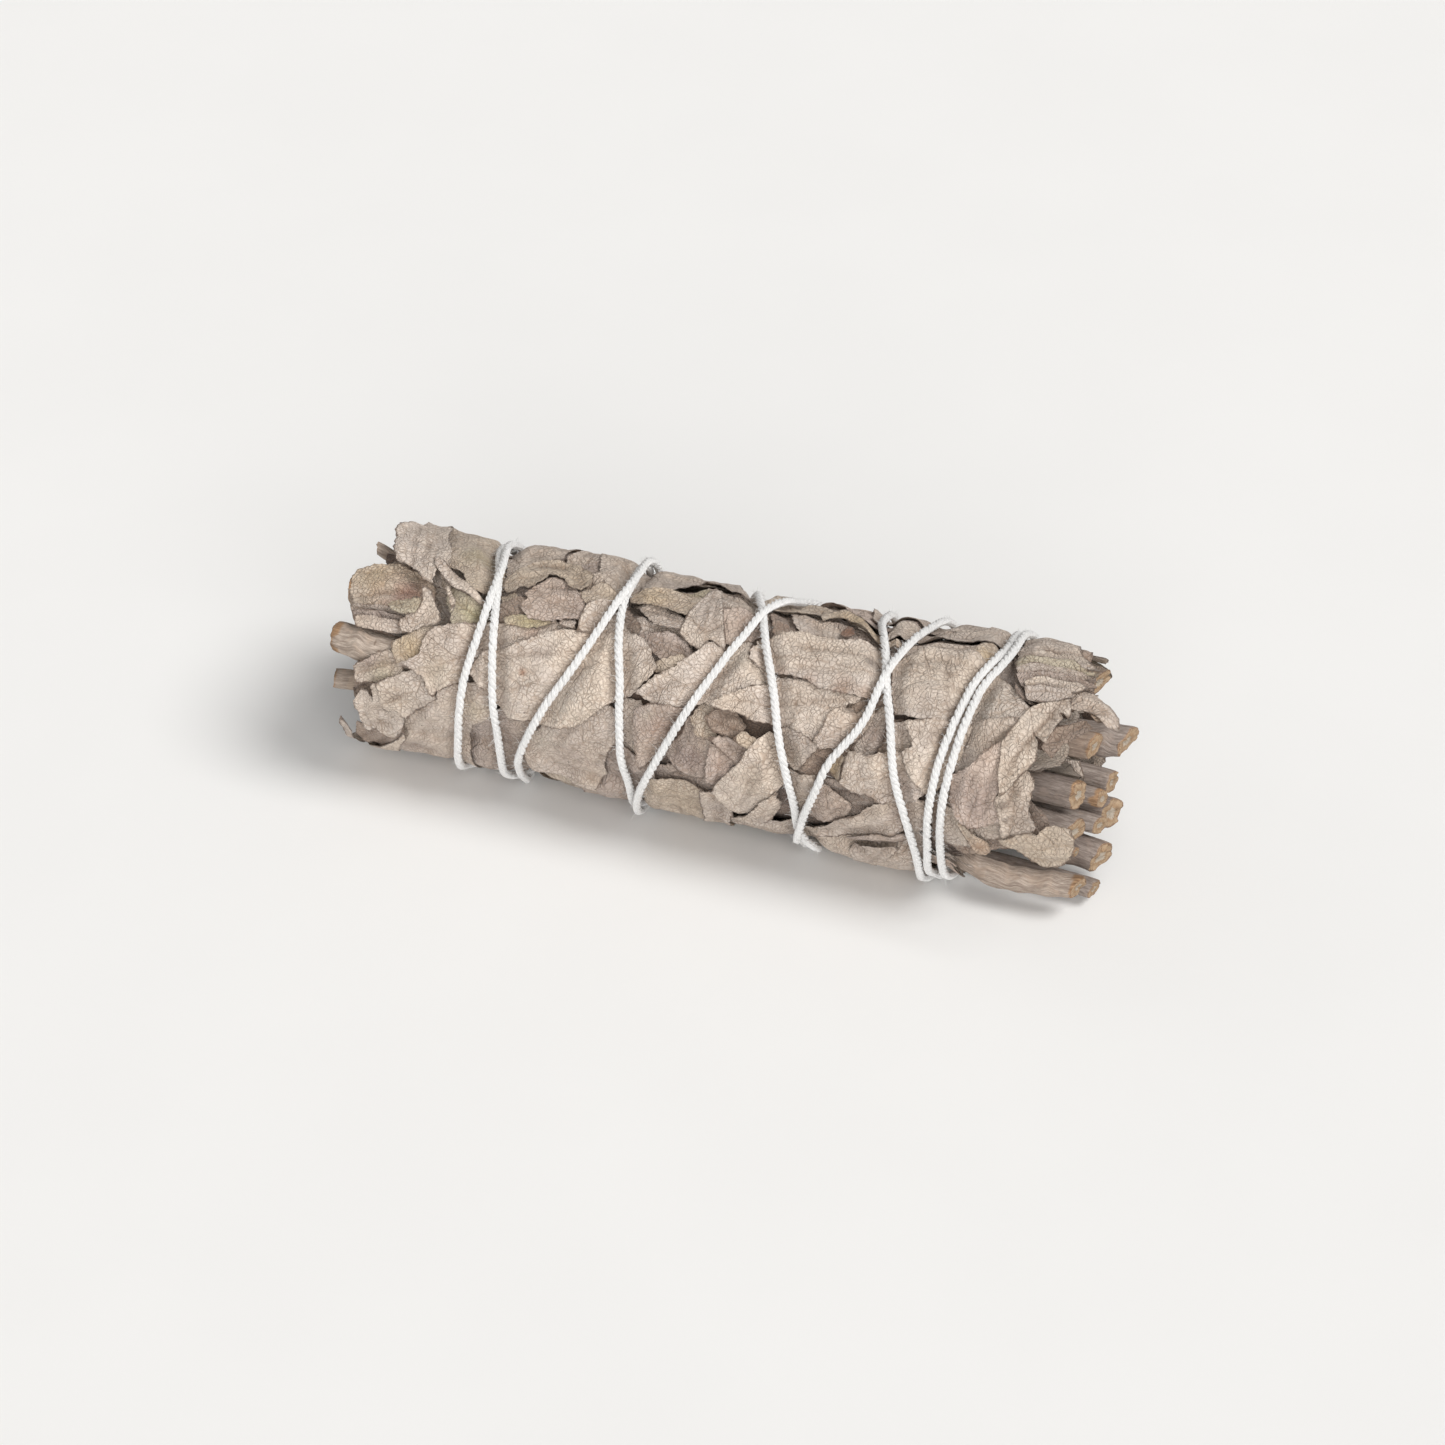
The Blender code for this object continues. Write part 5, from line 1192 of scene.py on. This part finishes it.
def stem(name, d0, d1, points, bark, seed, nodes_at=()):
    piece = Piece(name, "stem", [BARK, CUT], "stemco")
    piece.nodes.append(name)
    x0, x1 = points[0][0], points[-1][0]
    near = 16.0
    xs = sorted(set([round(x0 + k * 0.4, 3) for k in range(int(near / 0.4))] + [round(x1 - k * 0.4, 3) for k in range(int(near / 0.4))]
                    + [round(x, 3) for x in np.arange(x0 + near, x1 - near, 2.0)]))
    xs = np.array([x for x in xs if x0 <= x <= x1])
    yz = spline(points, xs)
    seg = 44
    ang = np.linspace(0, 2 * math.pi, seg, endpoint=False)
    share = (xs - x0) / (x1 - x0)
    rad = (d0 + (d1 - d0) * share) / 2
    swellings = sum(0.13 * np.exp(-(((xs - nx) / 0.9) ** 2)) for nx in nodes_at) if nodes_at else 0.0
    rad = rad * (0.975 + swellings)
    X, A = np.meshgrid(xs, ang, indexing="ij")
    ca, sa = np.cos(A), np.sin(A)
    ribs = fbm(ca * 2.6 + seed, sa * 2.6 + X * 0.05, seed, 3) * 0.5 + 0.35 * np.sin(A * 4 + seed + X * 0.02)
    # the bark is rounded off unevenly where it was cut
    tilt0 = -0.20 * np.cos(ang) + 0.22 * np.cos(ang - seed) + 0.12 * noise(ang * 2.2, np.full(seg, seed), seed)
    tilt1 = 0.42 * np.cos(ang) + 0.16 * np.cos(ang + seed * 1.7) - 0.45 + 0.14 * noise(ang * 2.2, np.full(seg, seed + 4), seed)
    R = rad[:, None] * (1 + 0.05 * ribs + 0.018 * noise(X * 0.8, A * 2, seed + 1))
    e0, e1 = X - x0, x1 - X
    R = R * (1 - 0.07 * np.exp(-e0 / 0.35) - 0.07 * np.exp(-e1 / 0.35))
    PX = X + tilt0[None, :] * np.exp(-e0 / 1.2) * rad[0] * 0.5 + tilt1[None, :] * np.exp(-e1 / 1.2) * rad[-1] * 0.95
    PY, PZ = yz[:, 0][:, None] + R * ca, yz[:, 1][:, None] + R * sa
    PX = np.clip(PX, x0 - 0.15, x1 + 0.15)
    v = np.stack([PX + AX[0], PY + AX[1], PZ + AX[2]], -1)
    v[..., 2] = np.maximum(v[..., 2], 0.05)
    n = len(xs)
    faces = []
    for i in range(n - 1):
        for j in range(seg):
            k = (j + 1) % seg
            faces.append((i * seg + j, i * seg + k, (i + 1) * seg + k, (i + 1) * seg + j))
    faces = [f[::-1] for f in faces]
    co = np.stack([X, A * rad[:, None], np.full(X.shape, seed * 1.0)], -1)
    tint = np.array(BARKS[bark])
    tip = smooth((-24 - X) / 12.0)[..., None]
    tint = tip * np.array([0.53, 0.46, 0.40]) + (1 - tip) * tint
    # the knife tore the bark back from the wood, more on some stems
    tear = {"stem_05": 1.1, "stem_03": 1.3, "stem_06": 2.2, "stem_02": 0.9, "stem_01": 0.1, "stem_11": 1.3}.get(name, 0.35)
    bare = smooth((tear * (0.75 + 0.6 * noise(A * 1.4 + seed, X * 0.3, seed + 6)) - np.minimum(e0, e1)) / 0.25)[..., None]
    shade = (0.72 + 0.45 * (0.5 + 0.5 * noise(A * 2.5, X * 1.1 + seed, seed + 8)))[..., None]
    bare_tint = bare * shade * np.array([0.42, 0.275, 0.165]) + (1 - bare) * tint
    piece.add(v.reshape(-1, 3), faces, co.reshape(-1, 3), bare_tint.reshape(-1, 3))
    for end in (0, 1):
        row = v[0 if end == 0 else -1]
        centre = row.mean(0)
        rings = [0.97, 0.88, 0.74, 0.58, 0.42, 0.27, 0.13]
        verts, cut = [row], [np.stack([np.full(seg, 1.0), ang, np.full(seg, seed)], 1)]
        for q in rings:
            p = centre + (row - centre) * q
            rough = 0.16 * noise(np.cos(ang) * q * 3.2 + seed, np.sin(ang) * q * 3.2, seed + 9) + 0.10 * noise(np.cos(ang) * q * 9, np.sin(ang) * q * 9 + seed, seed + 2)
            rough = rough - (0.18 if q < 0.35 else 0.0)
            p = p.copy()
            p[:, 0] += rough * rad[-1] * 0.55 * (1 if end else -1)
            p[:, 0] = np.clip(p[:, 0], x0 - 0.2 + AX[0], x1 + 0.2 + AX[0])
            verts.append(p)
            cut.append(np.stack([np.full(seg, q), ang, np.full(seg, seed)], 1))
        mid = centre + np.array([(-0.12 if end else 0.12) * rad[-1], 0, 0])
        verts.append(mid[None])
        cut.append(np.array([[0.0, 0.0, seed]]))
        vv, cc = np.concatenate(verts), np.concatenate(cut)
        f = []
        for q in range(len(rings)):
            for j in range(seg):
                k = (j + 1) % seg
                f.append((q * seg + j, q * seg + k, (q + 1) * seg + k, (q + 1) * seg + j))
        last = len(rings) * seg
        f += [(last + j, last + (j + 1) % seg, last + seg) for j in range(seg)]
        if end == 0:
            f = [t[::-1] for t in f]
        cut3 = np.stack([cc[:, 0], cc[:, 1], cc[:, 2]], 1)
        # where the pattern is read: the cut coordinates, share of the radius, angle and seed
        flat = np.stack([cut3[:, 0], cut3[:, 1], cut3[:, 2]], 1)
        piece.add(vv, f, np.zeros((len(vv), 3)), BARKS[bark], mat=1, cut=flat)
    piece.make()


def stems():
    swell = {"stem_11": (33.0, 37.0, 38.5, 41.2, 45.0), "stem_05": (-46.5,), "stem_10": (45.5,), "stem_02": (47.0,)}
    for k, (name, d0, d1, points, bark) in enumerate(STEMS):
        stem(name, d0, d1, points, bark, 3 + 7 * k, swell.get(name, ()))


# -------------------------------------------------------------------- thread
def thread():
    x, s = T_X, T_S
    half = THREAD_D / 2
    n = len(x)
    ground = np.zeros(n)
    for k in range(n):
        best = -9.0
        for o in (-0.35, 0.0, 0.35):
            i = int(round((x[k] + o - X_LOW) / DX))
            j = int(round(s[k] / DS)) % SN
            best = max(best, H[i, j])
        ground[k] = packed(best, s[k])
    # the cotton is taut: it bridges small hollows
    pad = 5
    wide = np.array([ground[max(0, k - pad):k + pad + 1].max() for k in range(n)])
    g = np.exp(-0.5 * (np.arange(-20, 21) / 6.0) ** 2)
    g /= g.sum()
    ground = np.maximum(np.convolve(np.pad(wide, 20, mode="edge"), g, mode="valid"), ground) + half * 0.86
    over = np.full((XN, SN), -99.0)
    raw = ground.copy()
    reach = int(THREAD_D / DX) + 1
    off = np.arange(-reach, reach + 1)
    for k in range(n):
        i, j = int(round((x[k] - X_LOW) / DX)), int(round(s[k] / DS)) % SN
        raw[k] = max(ground[k], over[i, j])
        q = k - 60
        if q >= 0:
            i, j = int(round((x[q] - X_LOW) / DX)), int(round(s[q] / DS))
            dist = np.hypot((X_LOW + (i + off) * DX - x[q])[:, None], ((j + off) * DS - s[q])[None, :])
            hump = np.where(dist < THREAD_D * 0.96, raw[q] + 0.92 * np.sqrt(np.maximum((THREAD_D * 0.96) ** 2 - dist**2, 0)), -99.0)
            sub = np.ix_(i + off, (j + off) % SN)
            over[sub] = np.maximum(over[sub], hump)
    wide = np.array([raw[max(0, k - 3):k + 4].max() for k in range(n)])
    g = np.exp(-0.5 * (np.arange(-15, 16) / 5.0) ** 2)
    g /= g.sum()
    height = np.maximum(np.convolve(np.pad(wide, 15, mode="edge"), g, mode="valid"), raw)
    # both ends are tucked in between the leaves
    away = np.minimum(np.arange(n), np.arange(n)[::-1]) * 0.262
    height = height - 2.5 * smooth(1 - away / 6.0)
    r = base_r(x) + height
    down = -np.sin(s / R0) * TALL
    r = np.where(down > 0.15, np.minimum(r, (AX[2] - half - 0.08) / np.maximum(down, 0.15)), r)
    c = place(x, s, r)
    c = np.stack([np.convolve(np.pad(c[:, a], 3, mode="edge"), np.ones(7) / 7, mode="valid") for a in range(3)], 1)
    t = np.gradient(c, axis=0)
    length = np.linalg.norm(t, axis=1)
    t /= length[:, None]
    run = np.cumsum(length)
    th = s / R0
    out = np.stack([np.zeros(n), -np.cos(th), np.sin(th)], 1)
    side = np.cross(t, out)
    side /= np.linalg.norm(side, axis=1)[:, None]
    out = np.cross(side, t)
    piece = Piece("thread", "thread", [COTTON], "plyco")
    piece.nodes.append("thread")
    seg, ply_r, orbit, pitch = 6, 0.305, 0.262, 2.55
    ang = np.linspace(0, 2 * math.pi, seg, endpoint=False)
    plies = []
    for p in range(3):
        a = 2 * math.pi * (run / pitch + p / 3.0) + 0.5 * noise(run * 0.12, np.full(n, p), 5)
        squash = 0.93
        pc = c + side * (orbit * np.cos(a))[:, None] + out * (orbit * squash * np.sin(a))[:, None]
        plies.append((pc, a))
        pt = np.gradient(pc, axis=0)
        pt /= np.linalg.norm(pt, axis=1)[:, None]
        po = np.cross(np.cross(pt, out), pt)
        po /= np.linalg.norm(po, axis=1)[:, None]
        ps = np.cross(pt, po)
        k = (1 + 0.07 * noise(run * 1.3, np.full(n, p * 9.0), 7))[:, None, None] * ply_r
        v = pc[:, None, :] + k * (ps[:, None, :] * np.cos(ang)[None, :, None] + po[:, None, :] * np.sin(ang)[None, :, None])
        faces = []
        for i in range(n - 1):
            for j in range(seg):
                kk = (j + 1) % seg
                faces.append((i * seg + j, i * seg + kk, (i + 1) * seg + kk, (i + 1) * seg + j))
        faces.append(tuple(range(seg))[::-1])
        faces.append(tuple((n - 1) * seg + j for j in range(seg)))
        co = np.stack(np.broadcast_arrays(run[:, None], ang[None, :] * ply_r, np.float64(p * 11.0)), -1)
        piece.add(v.reshape(-1, 3), faces, co.reshape(-1, 3), (1, 1, 1))
    piece.make()
    # loose cotton fibres
    rng = np.random.RandomState(4)
    fuzz = Piece("thread_fuzz", "thread", [COTTON], "plyco")
    for q in range(3400):
        k = rng.randint(4, n - 5)
        a = rng.uniform(-0.3, math.pi + 0.3)
        start = c[k] + (side[k] * math.cos(a) + out[k] * math.sin(a)) * 0.50
        d = side[k] * math.cos(a) + out[k] * math.sin(a) + t[k] * rng.uniform(-1.6, 1.6) + rng.normal(0, 0.3, 3)
        d /= np.linalg.norm(d)
        bend = rng.normal(0, 1, 3) * 0.35
        long = rng.uniform(0.25, 0.85)
        pts = np.array([start + d * long * u + bend * long * u * u for u in (0.0, 0.5, 1.0)])
        w = np.cross(d, bend)
        w /= np.linalg.norm(w) or 1.0
        w2 = np.cross(d, w)
        v = []
        for u, pnt in enumerate(pts):
            rr = 0.024 * (1 - 0.33 * u)
            v += [pnt + w * rr, pnt - w * rr * 0.5 + w2 * rr * 0.86, pnt - w * rr * 0.5 - w2 * rr * 0.86]
        v = [np.array([c3[0], c3[1], max(c3[2], 0.02)]) for c3 in v]
        f = []
        for u in range(2):
            for j in range(3):
                f.append((u * 3 + j, u * 3 + (j + 1) % 3, u * 3 + 3 + (j + 1) % 3, u * 3 + 3 + j))
        fuzz.add(np.array(v), f, np.zeros((9, 3)) + rng.uniform(0, 40, 3), (1, 1, 1))
    fuzz.make()


# ------------------------------------------------ leaf ends between the stems
def leaf_ends():
    """Leaves packed in among the stems; only their ends can be seen, so each
    reaches about 16 mm in."""
    rng = random.Random(77)
    lines = [(np.array([p[0] for p in pts]), d0, d1, pts) for _, d0, d1, pts, _ in STEMS]
    for end in ("left", "right"):
        piece = Piece(f"leaf_ends_{end}", "leaf", [LEAF], "leafco")
        for r0, count in ((12.1, 6), (10.9, 5), (9.4, 5), (7.6, 4), (5.6, 4), (3.4, 3), (1.4, 2)):
            for m in range(count):
                mid = (m + rng.uniform(-0.2, 0.2)) * 360 / count + r0 * 31
                half = 360 / count * rng.uniform(0.42, 0.62)
                th180 = (mid + 180) % 360 - 180
                if end == "right" and r0 > 10.0 and -118 < th180 < -20:
                    continue
                if end == "left" and r0 > 11.5 and 4 < th180 < 56:
                    continue
                seed = int(r0 * 100) + m * 17 + (5000 if end == "left" else 0)
                nt = max(8, int(math.radians(2 * half) * max(r0, 3) / 0.75))
                nx = 19
                U, V = np.meshgrid(np.linspace(0, 1, nx), np.linspace(-1, 1, nt), indexing="ij")
                tip = rng.uniform(0.5, 4.5) + (0 if r0 > 6 else 1.0)
                if end == "right" and -118 < th180 < 82:
                    tip = tip + 6.5
                tip = tip + 1.3 * fbm(V * 2.2 + seed, V * 0, seed, 3) + 2.2 * V**4
                if end == "left":
                    X = -47.6 + tip + U * 15
                else:
                    X = 46.2 - tip - U * 15
                th = np.radians(mid + V * half * (0.92 + 0.08 * U))
                R = r0 + 0.75 * fbm(th * 2.2 + seed, X * 0.10, seed, 3) + 0.28 * fbm(th * 7 + seed, X * 0.22, seed + 3, 2)
                R = R + 0.35 * (1 - U) * fbm(V * 3 + seed, U * 2, seed + 6, 2)
                Y, Z = -R * np.cos(th), R * np.sin(th)
                for _ in range(3):
                    for xs, d0, d1, pts in lines:
                        at = np.clip(X, xs[0], xs[-1])
                        inside_x = (X > xs[0] - 0.5) & (X < xs[-1] + 0.5)
                        flat = np.linspace(xs[0], xs[-1], 60)
                        c = spline(pts, flat)
                        cy, cz = np.interp(at, flat, c[:, 0]), np.interp(at, flat, c[:, 1])
                        need = (d0 + (d1 - d0) * (at - xs[0]) / (xs[-1] - xs[0])) / 2 + 0.32
                        dy, dz = Y - cy, Z - cz
                        d = np.hypot(dy, dz) + 1e-6
                        push = np.where(inside_x & (d < need), need / d, 1.0)
                        Y, Z = cy + dy * push, cz + dz * push
                far = np.hypot(Y, Z)
                k = np.where(far > 12.7, 12.7 / far, 1.0)
                Y, Z = Y * k, Z * k
                P = np.stack([X + AX[0], Y + AX[1], Z + AX[2]], -1)
                N = np.cross(np.gradient(P, axis=0), np.gradient(P, axis=1))
                N /= np.linalg.norm(N, axis=2, keepdims=True) + 1e-9
                v = np.concatenate([(P + N * 0.07).reshape(-1, 3), (P - N * 0.07).reshape(-1, 3)])
                k = nx * nt
                f = []
                for i in range(nx - 1):
                    for j in range(nt - 1):
                        a, b, c2, d2 = i * nt + j, i * nt + j + 1, (i + 1) * nt + j + 1, (i + 1) * nt + j
                        f += [(a, b, c2, d2), (d2 + k, c2 + k, b + k, a + k)]
                ring = [j for j in range(nt)] + [i * nt + nt - 1 for i in range(1, nx)] + [(nx - 1) * nt + j for j in range(nt - 2, -1, -1)] + [i * nt for i in range(nx - 2, 0, -1)]
                f += [(ring[q], ring[q] + k, ring[(q + 1) % len(ring)] + k, ring[(q + 1) % len(ring)]) for q in range(len(ring))]
                co = np.stack([U * 15, V * half * 0.2, np.full(U.shape, seed % 90 * 4.0)], -1).reshape(-1, 3)
                rim = np.minimum(U * 15, (1 - np.abs(V)) * half * r0 * 0.017).reshape(-1)
                tone = np.array(TONES[rng.choice(["grey", "mauve", "tan", "grey", "pale"])]) * rng.uniform(0.80, 0.98)
                piece.add(v, f, np.concatenate([co, co + [0, 0, 2.0]]), tone, np.concatenate([rim, rim]))
        piece.make()


# --------------------------------------------------------------------- build
def stem_bed():
    """Where two stems lie at the surface they carry the thread."""
    x = X_LOW + np.arange(XN) * DX
    th = (np.degrees(np.arange(SN) * DS / R0) + 180) % 360 - 180
    a = smooth((x - 31.5) / 3.0)[:, None] * smooth((48 - x) / 3.0)[:, None]
    b = (smooth((th + 84) / 8.0) * smooth((-30 - th) / 8.0))[None, :]
    H[:] = np.maximum(H, np.where(a * b > 0.05, -0.35 - 3.0 * (1 - a * b), -9.0))


inner_layers()
H[:] = packed(H, 0.0) + 0.05
INNER[0] = False
hidden_sides()
traced_leaves()
stems()
stem_bed()
leaf_ends()
thread()
for p in [q for q in PIECES.values() if not q.v]:
    # a layer with no leaf of its own is stood for by the nearest one
    full = [q for q in PIECES.values() if q.v]
    best = min(full, key=lambda q: (Vector(np.concatenate(q.v).mean(0)) - NODE_MID[p.name]).length)
    best.nodes.extend(p.nodes)
    p.nodes = []
for p in PIECES.values():
    if p.v:
        p.make()


# --------------------------------------------------------------------- stage
def stage():
    mesh = bpy.data.meshes.new("floor")
    mesh.from_pydata([(-3, -3, 0), (3, -3, 0), (3, 3, 0), (-3, 3, 0)], [], [(0, 1, 2, 3)])
    floor = bpy.data.objects.new("floor", mesh)
    bpy.context.scene.collection.objects.link(floor)
    mat, nt, shader = new_material("pale_floor")
    n = Nodes(nt)
    tc = n.add("ShaderNodeTexCoord")
    grain = n.noise(tc.outputs["Object"], 30.0, 2.0)
    col = n.mix(n.step(grain, 0.3, 0.7), (0.845, 0.84, 0.83), (0.855, 0.85, 0.84))
    n.link(col, shader.inputs["Base Color"])
    shader.inputs["Roughness"].default_value = 0.95
    shader.inputs["Specular IOR Level"].default_value = 0.1
    mesh.materials.append(mat)

    world = bpy.data.worlds.new("studio")
    world.use_nodes = True
    world.node_tree.nodes["Background"].inputs["Color"].default_value = (1.0, 0.99, 0.98, 1)
    world.node_tree.nodes["Background"].inputs["Strength"].default_value = 0.33
    bpy.context.scene.world = world

    away = Vector((-math.sin(AZ), math.cos(AZ), 0))
    right = Vector(RIGHT)

    def lamp(name, direction, strength, spread, colour=(1, 1, 1)):
        data = bpy.data.lights.new(name, "SUN")
        data.energy, data.angle, data.color = strength, math.radians(spread), colour
        obj = bpy.data.objects.new(name, data)
        bpy.context.scene.collection.objects.link(obj)
        obj.rotation_euler = direction.normalized().to_track_quat("Z", "Y").to_euler()

    lamp("key", right * 0.68 - away * 0.23 + Vector((0, 0, 1.0)), 1.9, 29, (1.0, 0.993, 0.98))
    lamp("fill", -away + right * 0.15 + Vector((0, 0, 0.42)), 1.9, 60, (1.0, 0.995, 0.985))

    cam = bpy.data.cameras.new("camera")
    cam.lens, cam.sensor_width, cam.sensor_fit = 100.0, 36.0, "HORIZONTAL"
    cam.clip_start, cam.clip_end = 0.01, 20.0
    cam.dof.use_dof = False
    obj = bpy.data.objects.new("camera", cam)
    bpy.context.scene.collection.objects.link(obj)
    m = np.eye(4)
    m[:3, 0], m[:3, 1], m[:3, 2] = RIGHT, UP, BACK
    m[:3, 3] = (EYE + np.array(AX)) * MM
    from mathutils import Matrix
    obj.matrix_world = Matrix(m.tolist())
    bpy.context.scene.camera = obj
    bpy.context.scene.view_settings.view_transform = "Standard"
    bpy.context.scene.view_settings.look = "None"
    bpy.context.scene.view_settings.exposure = 0.0


stage()
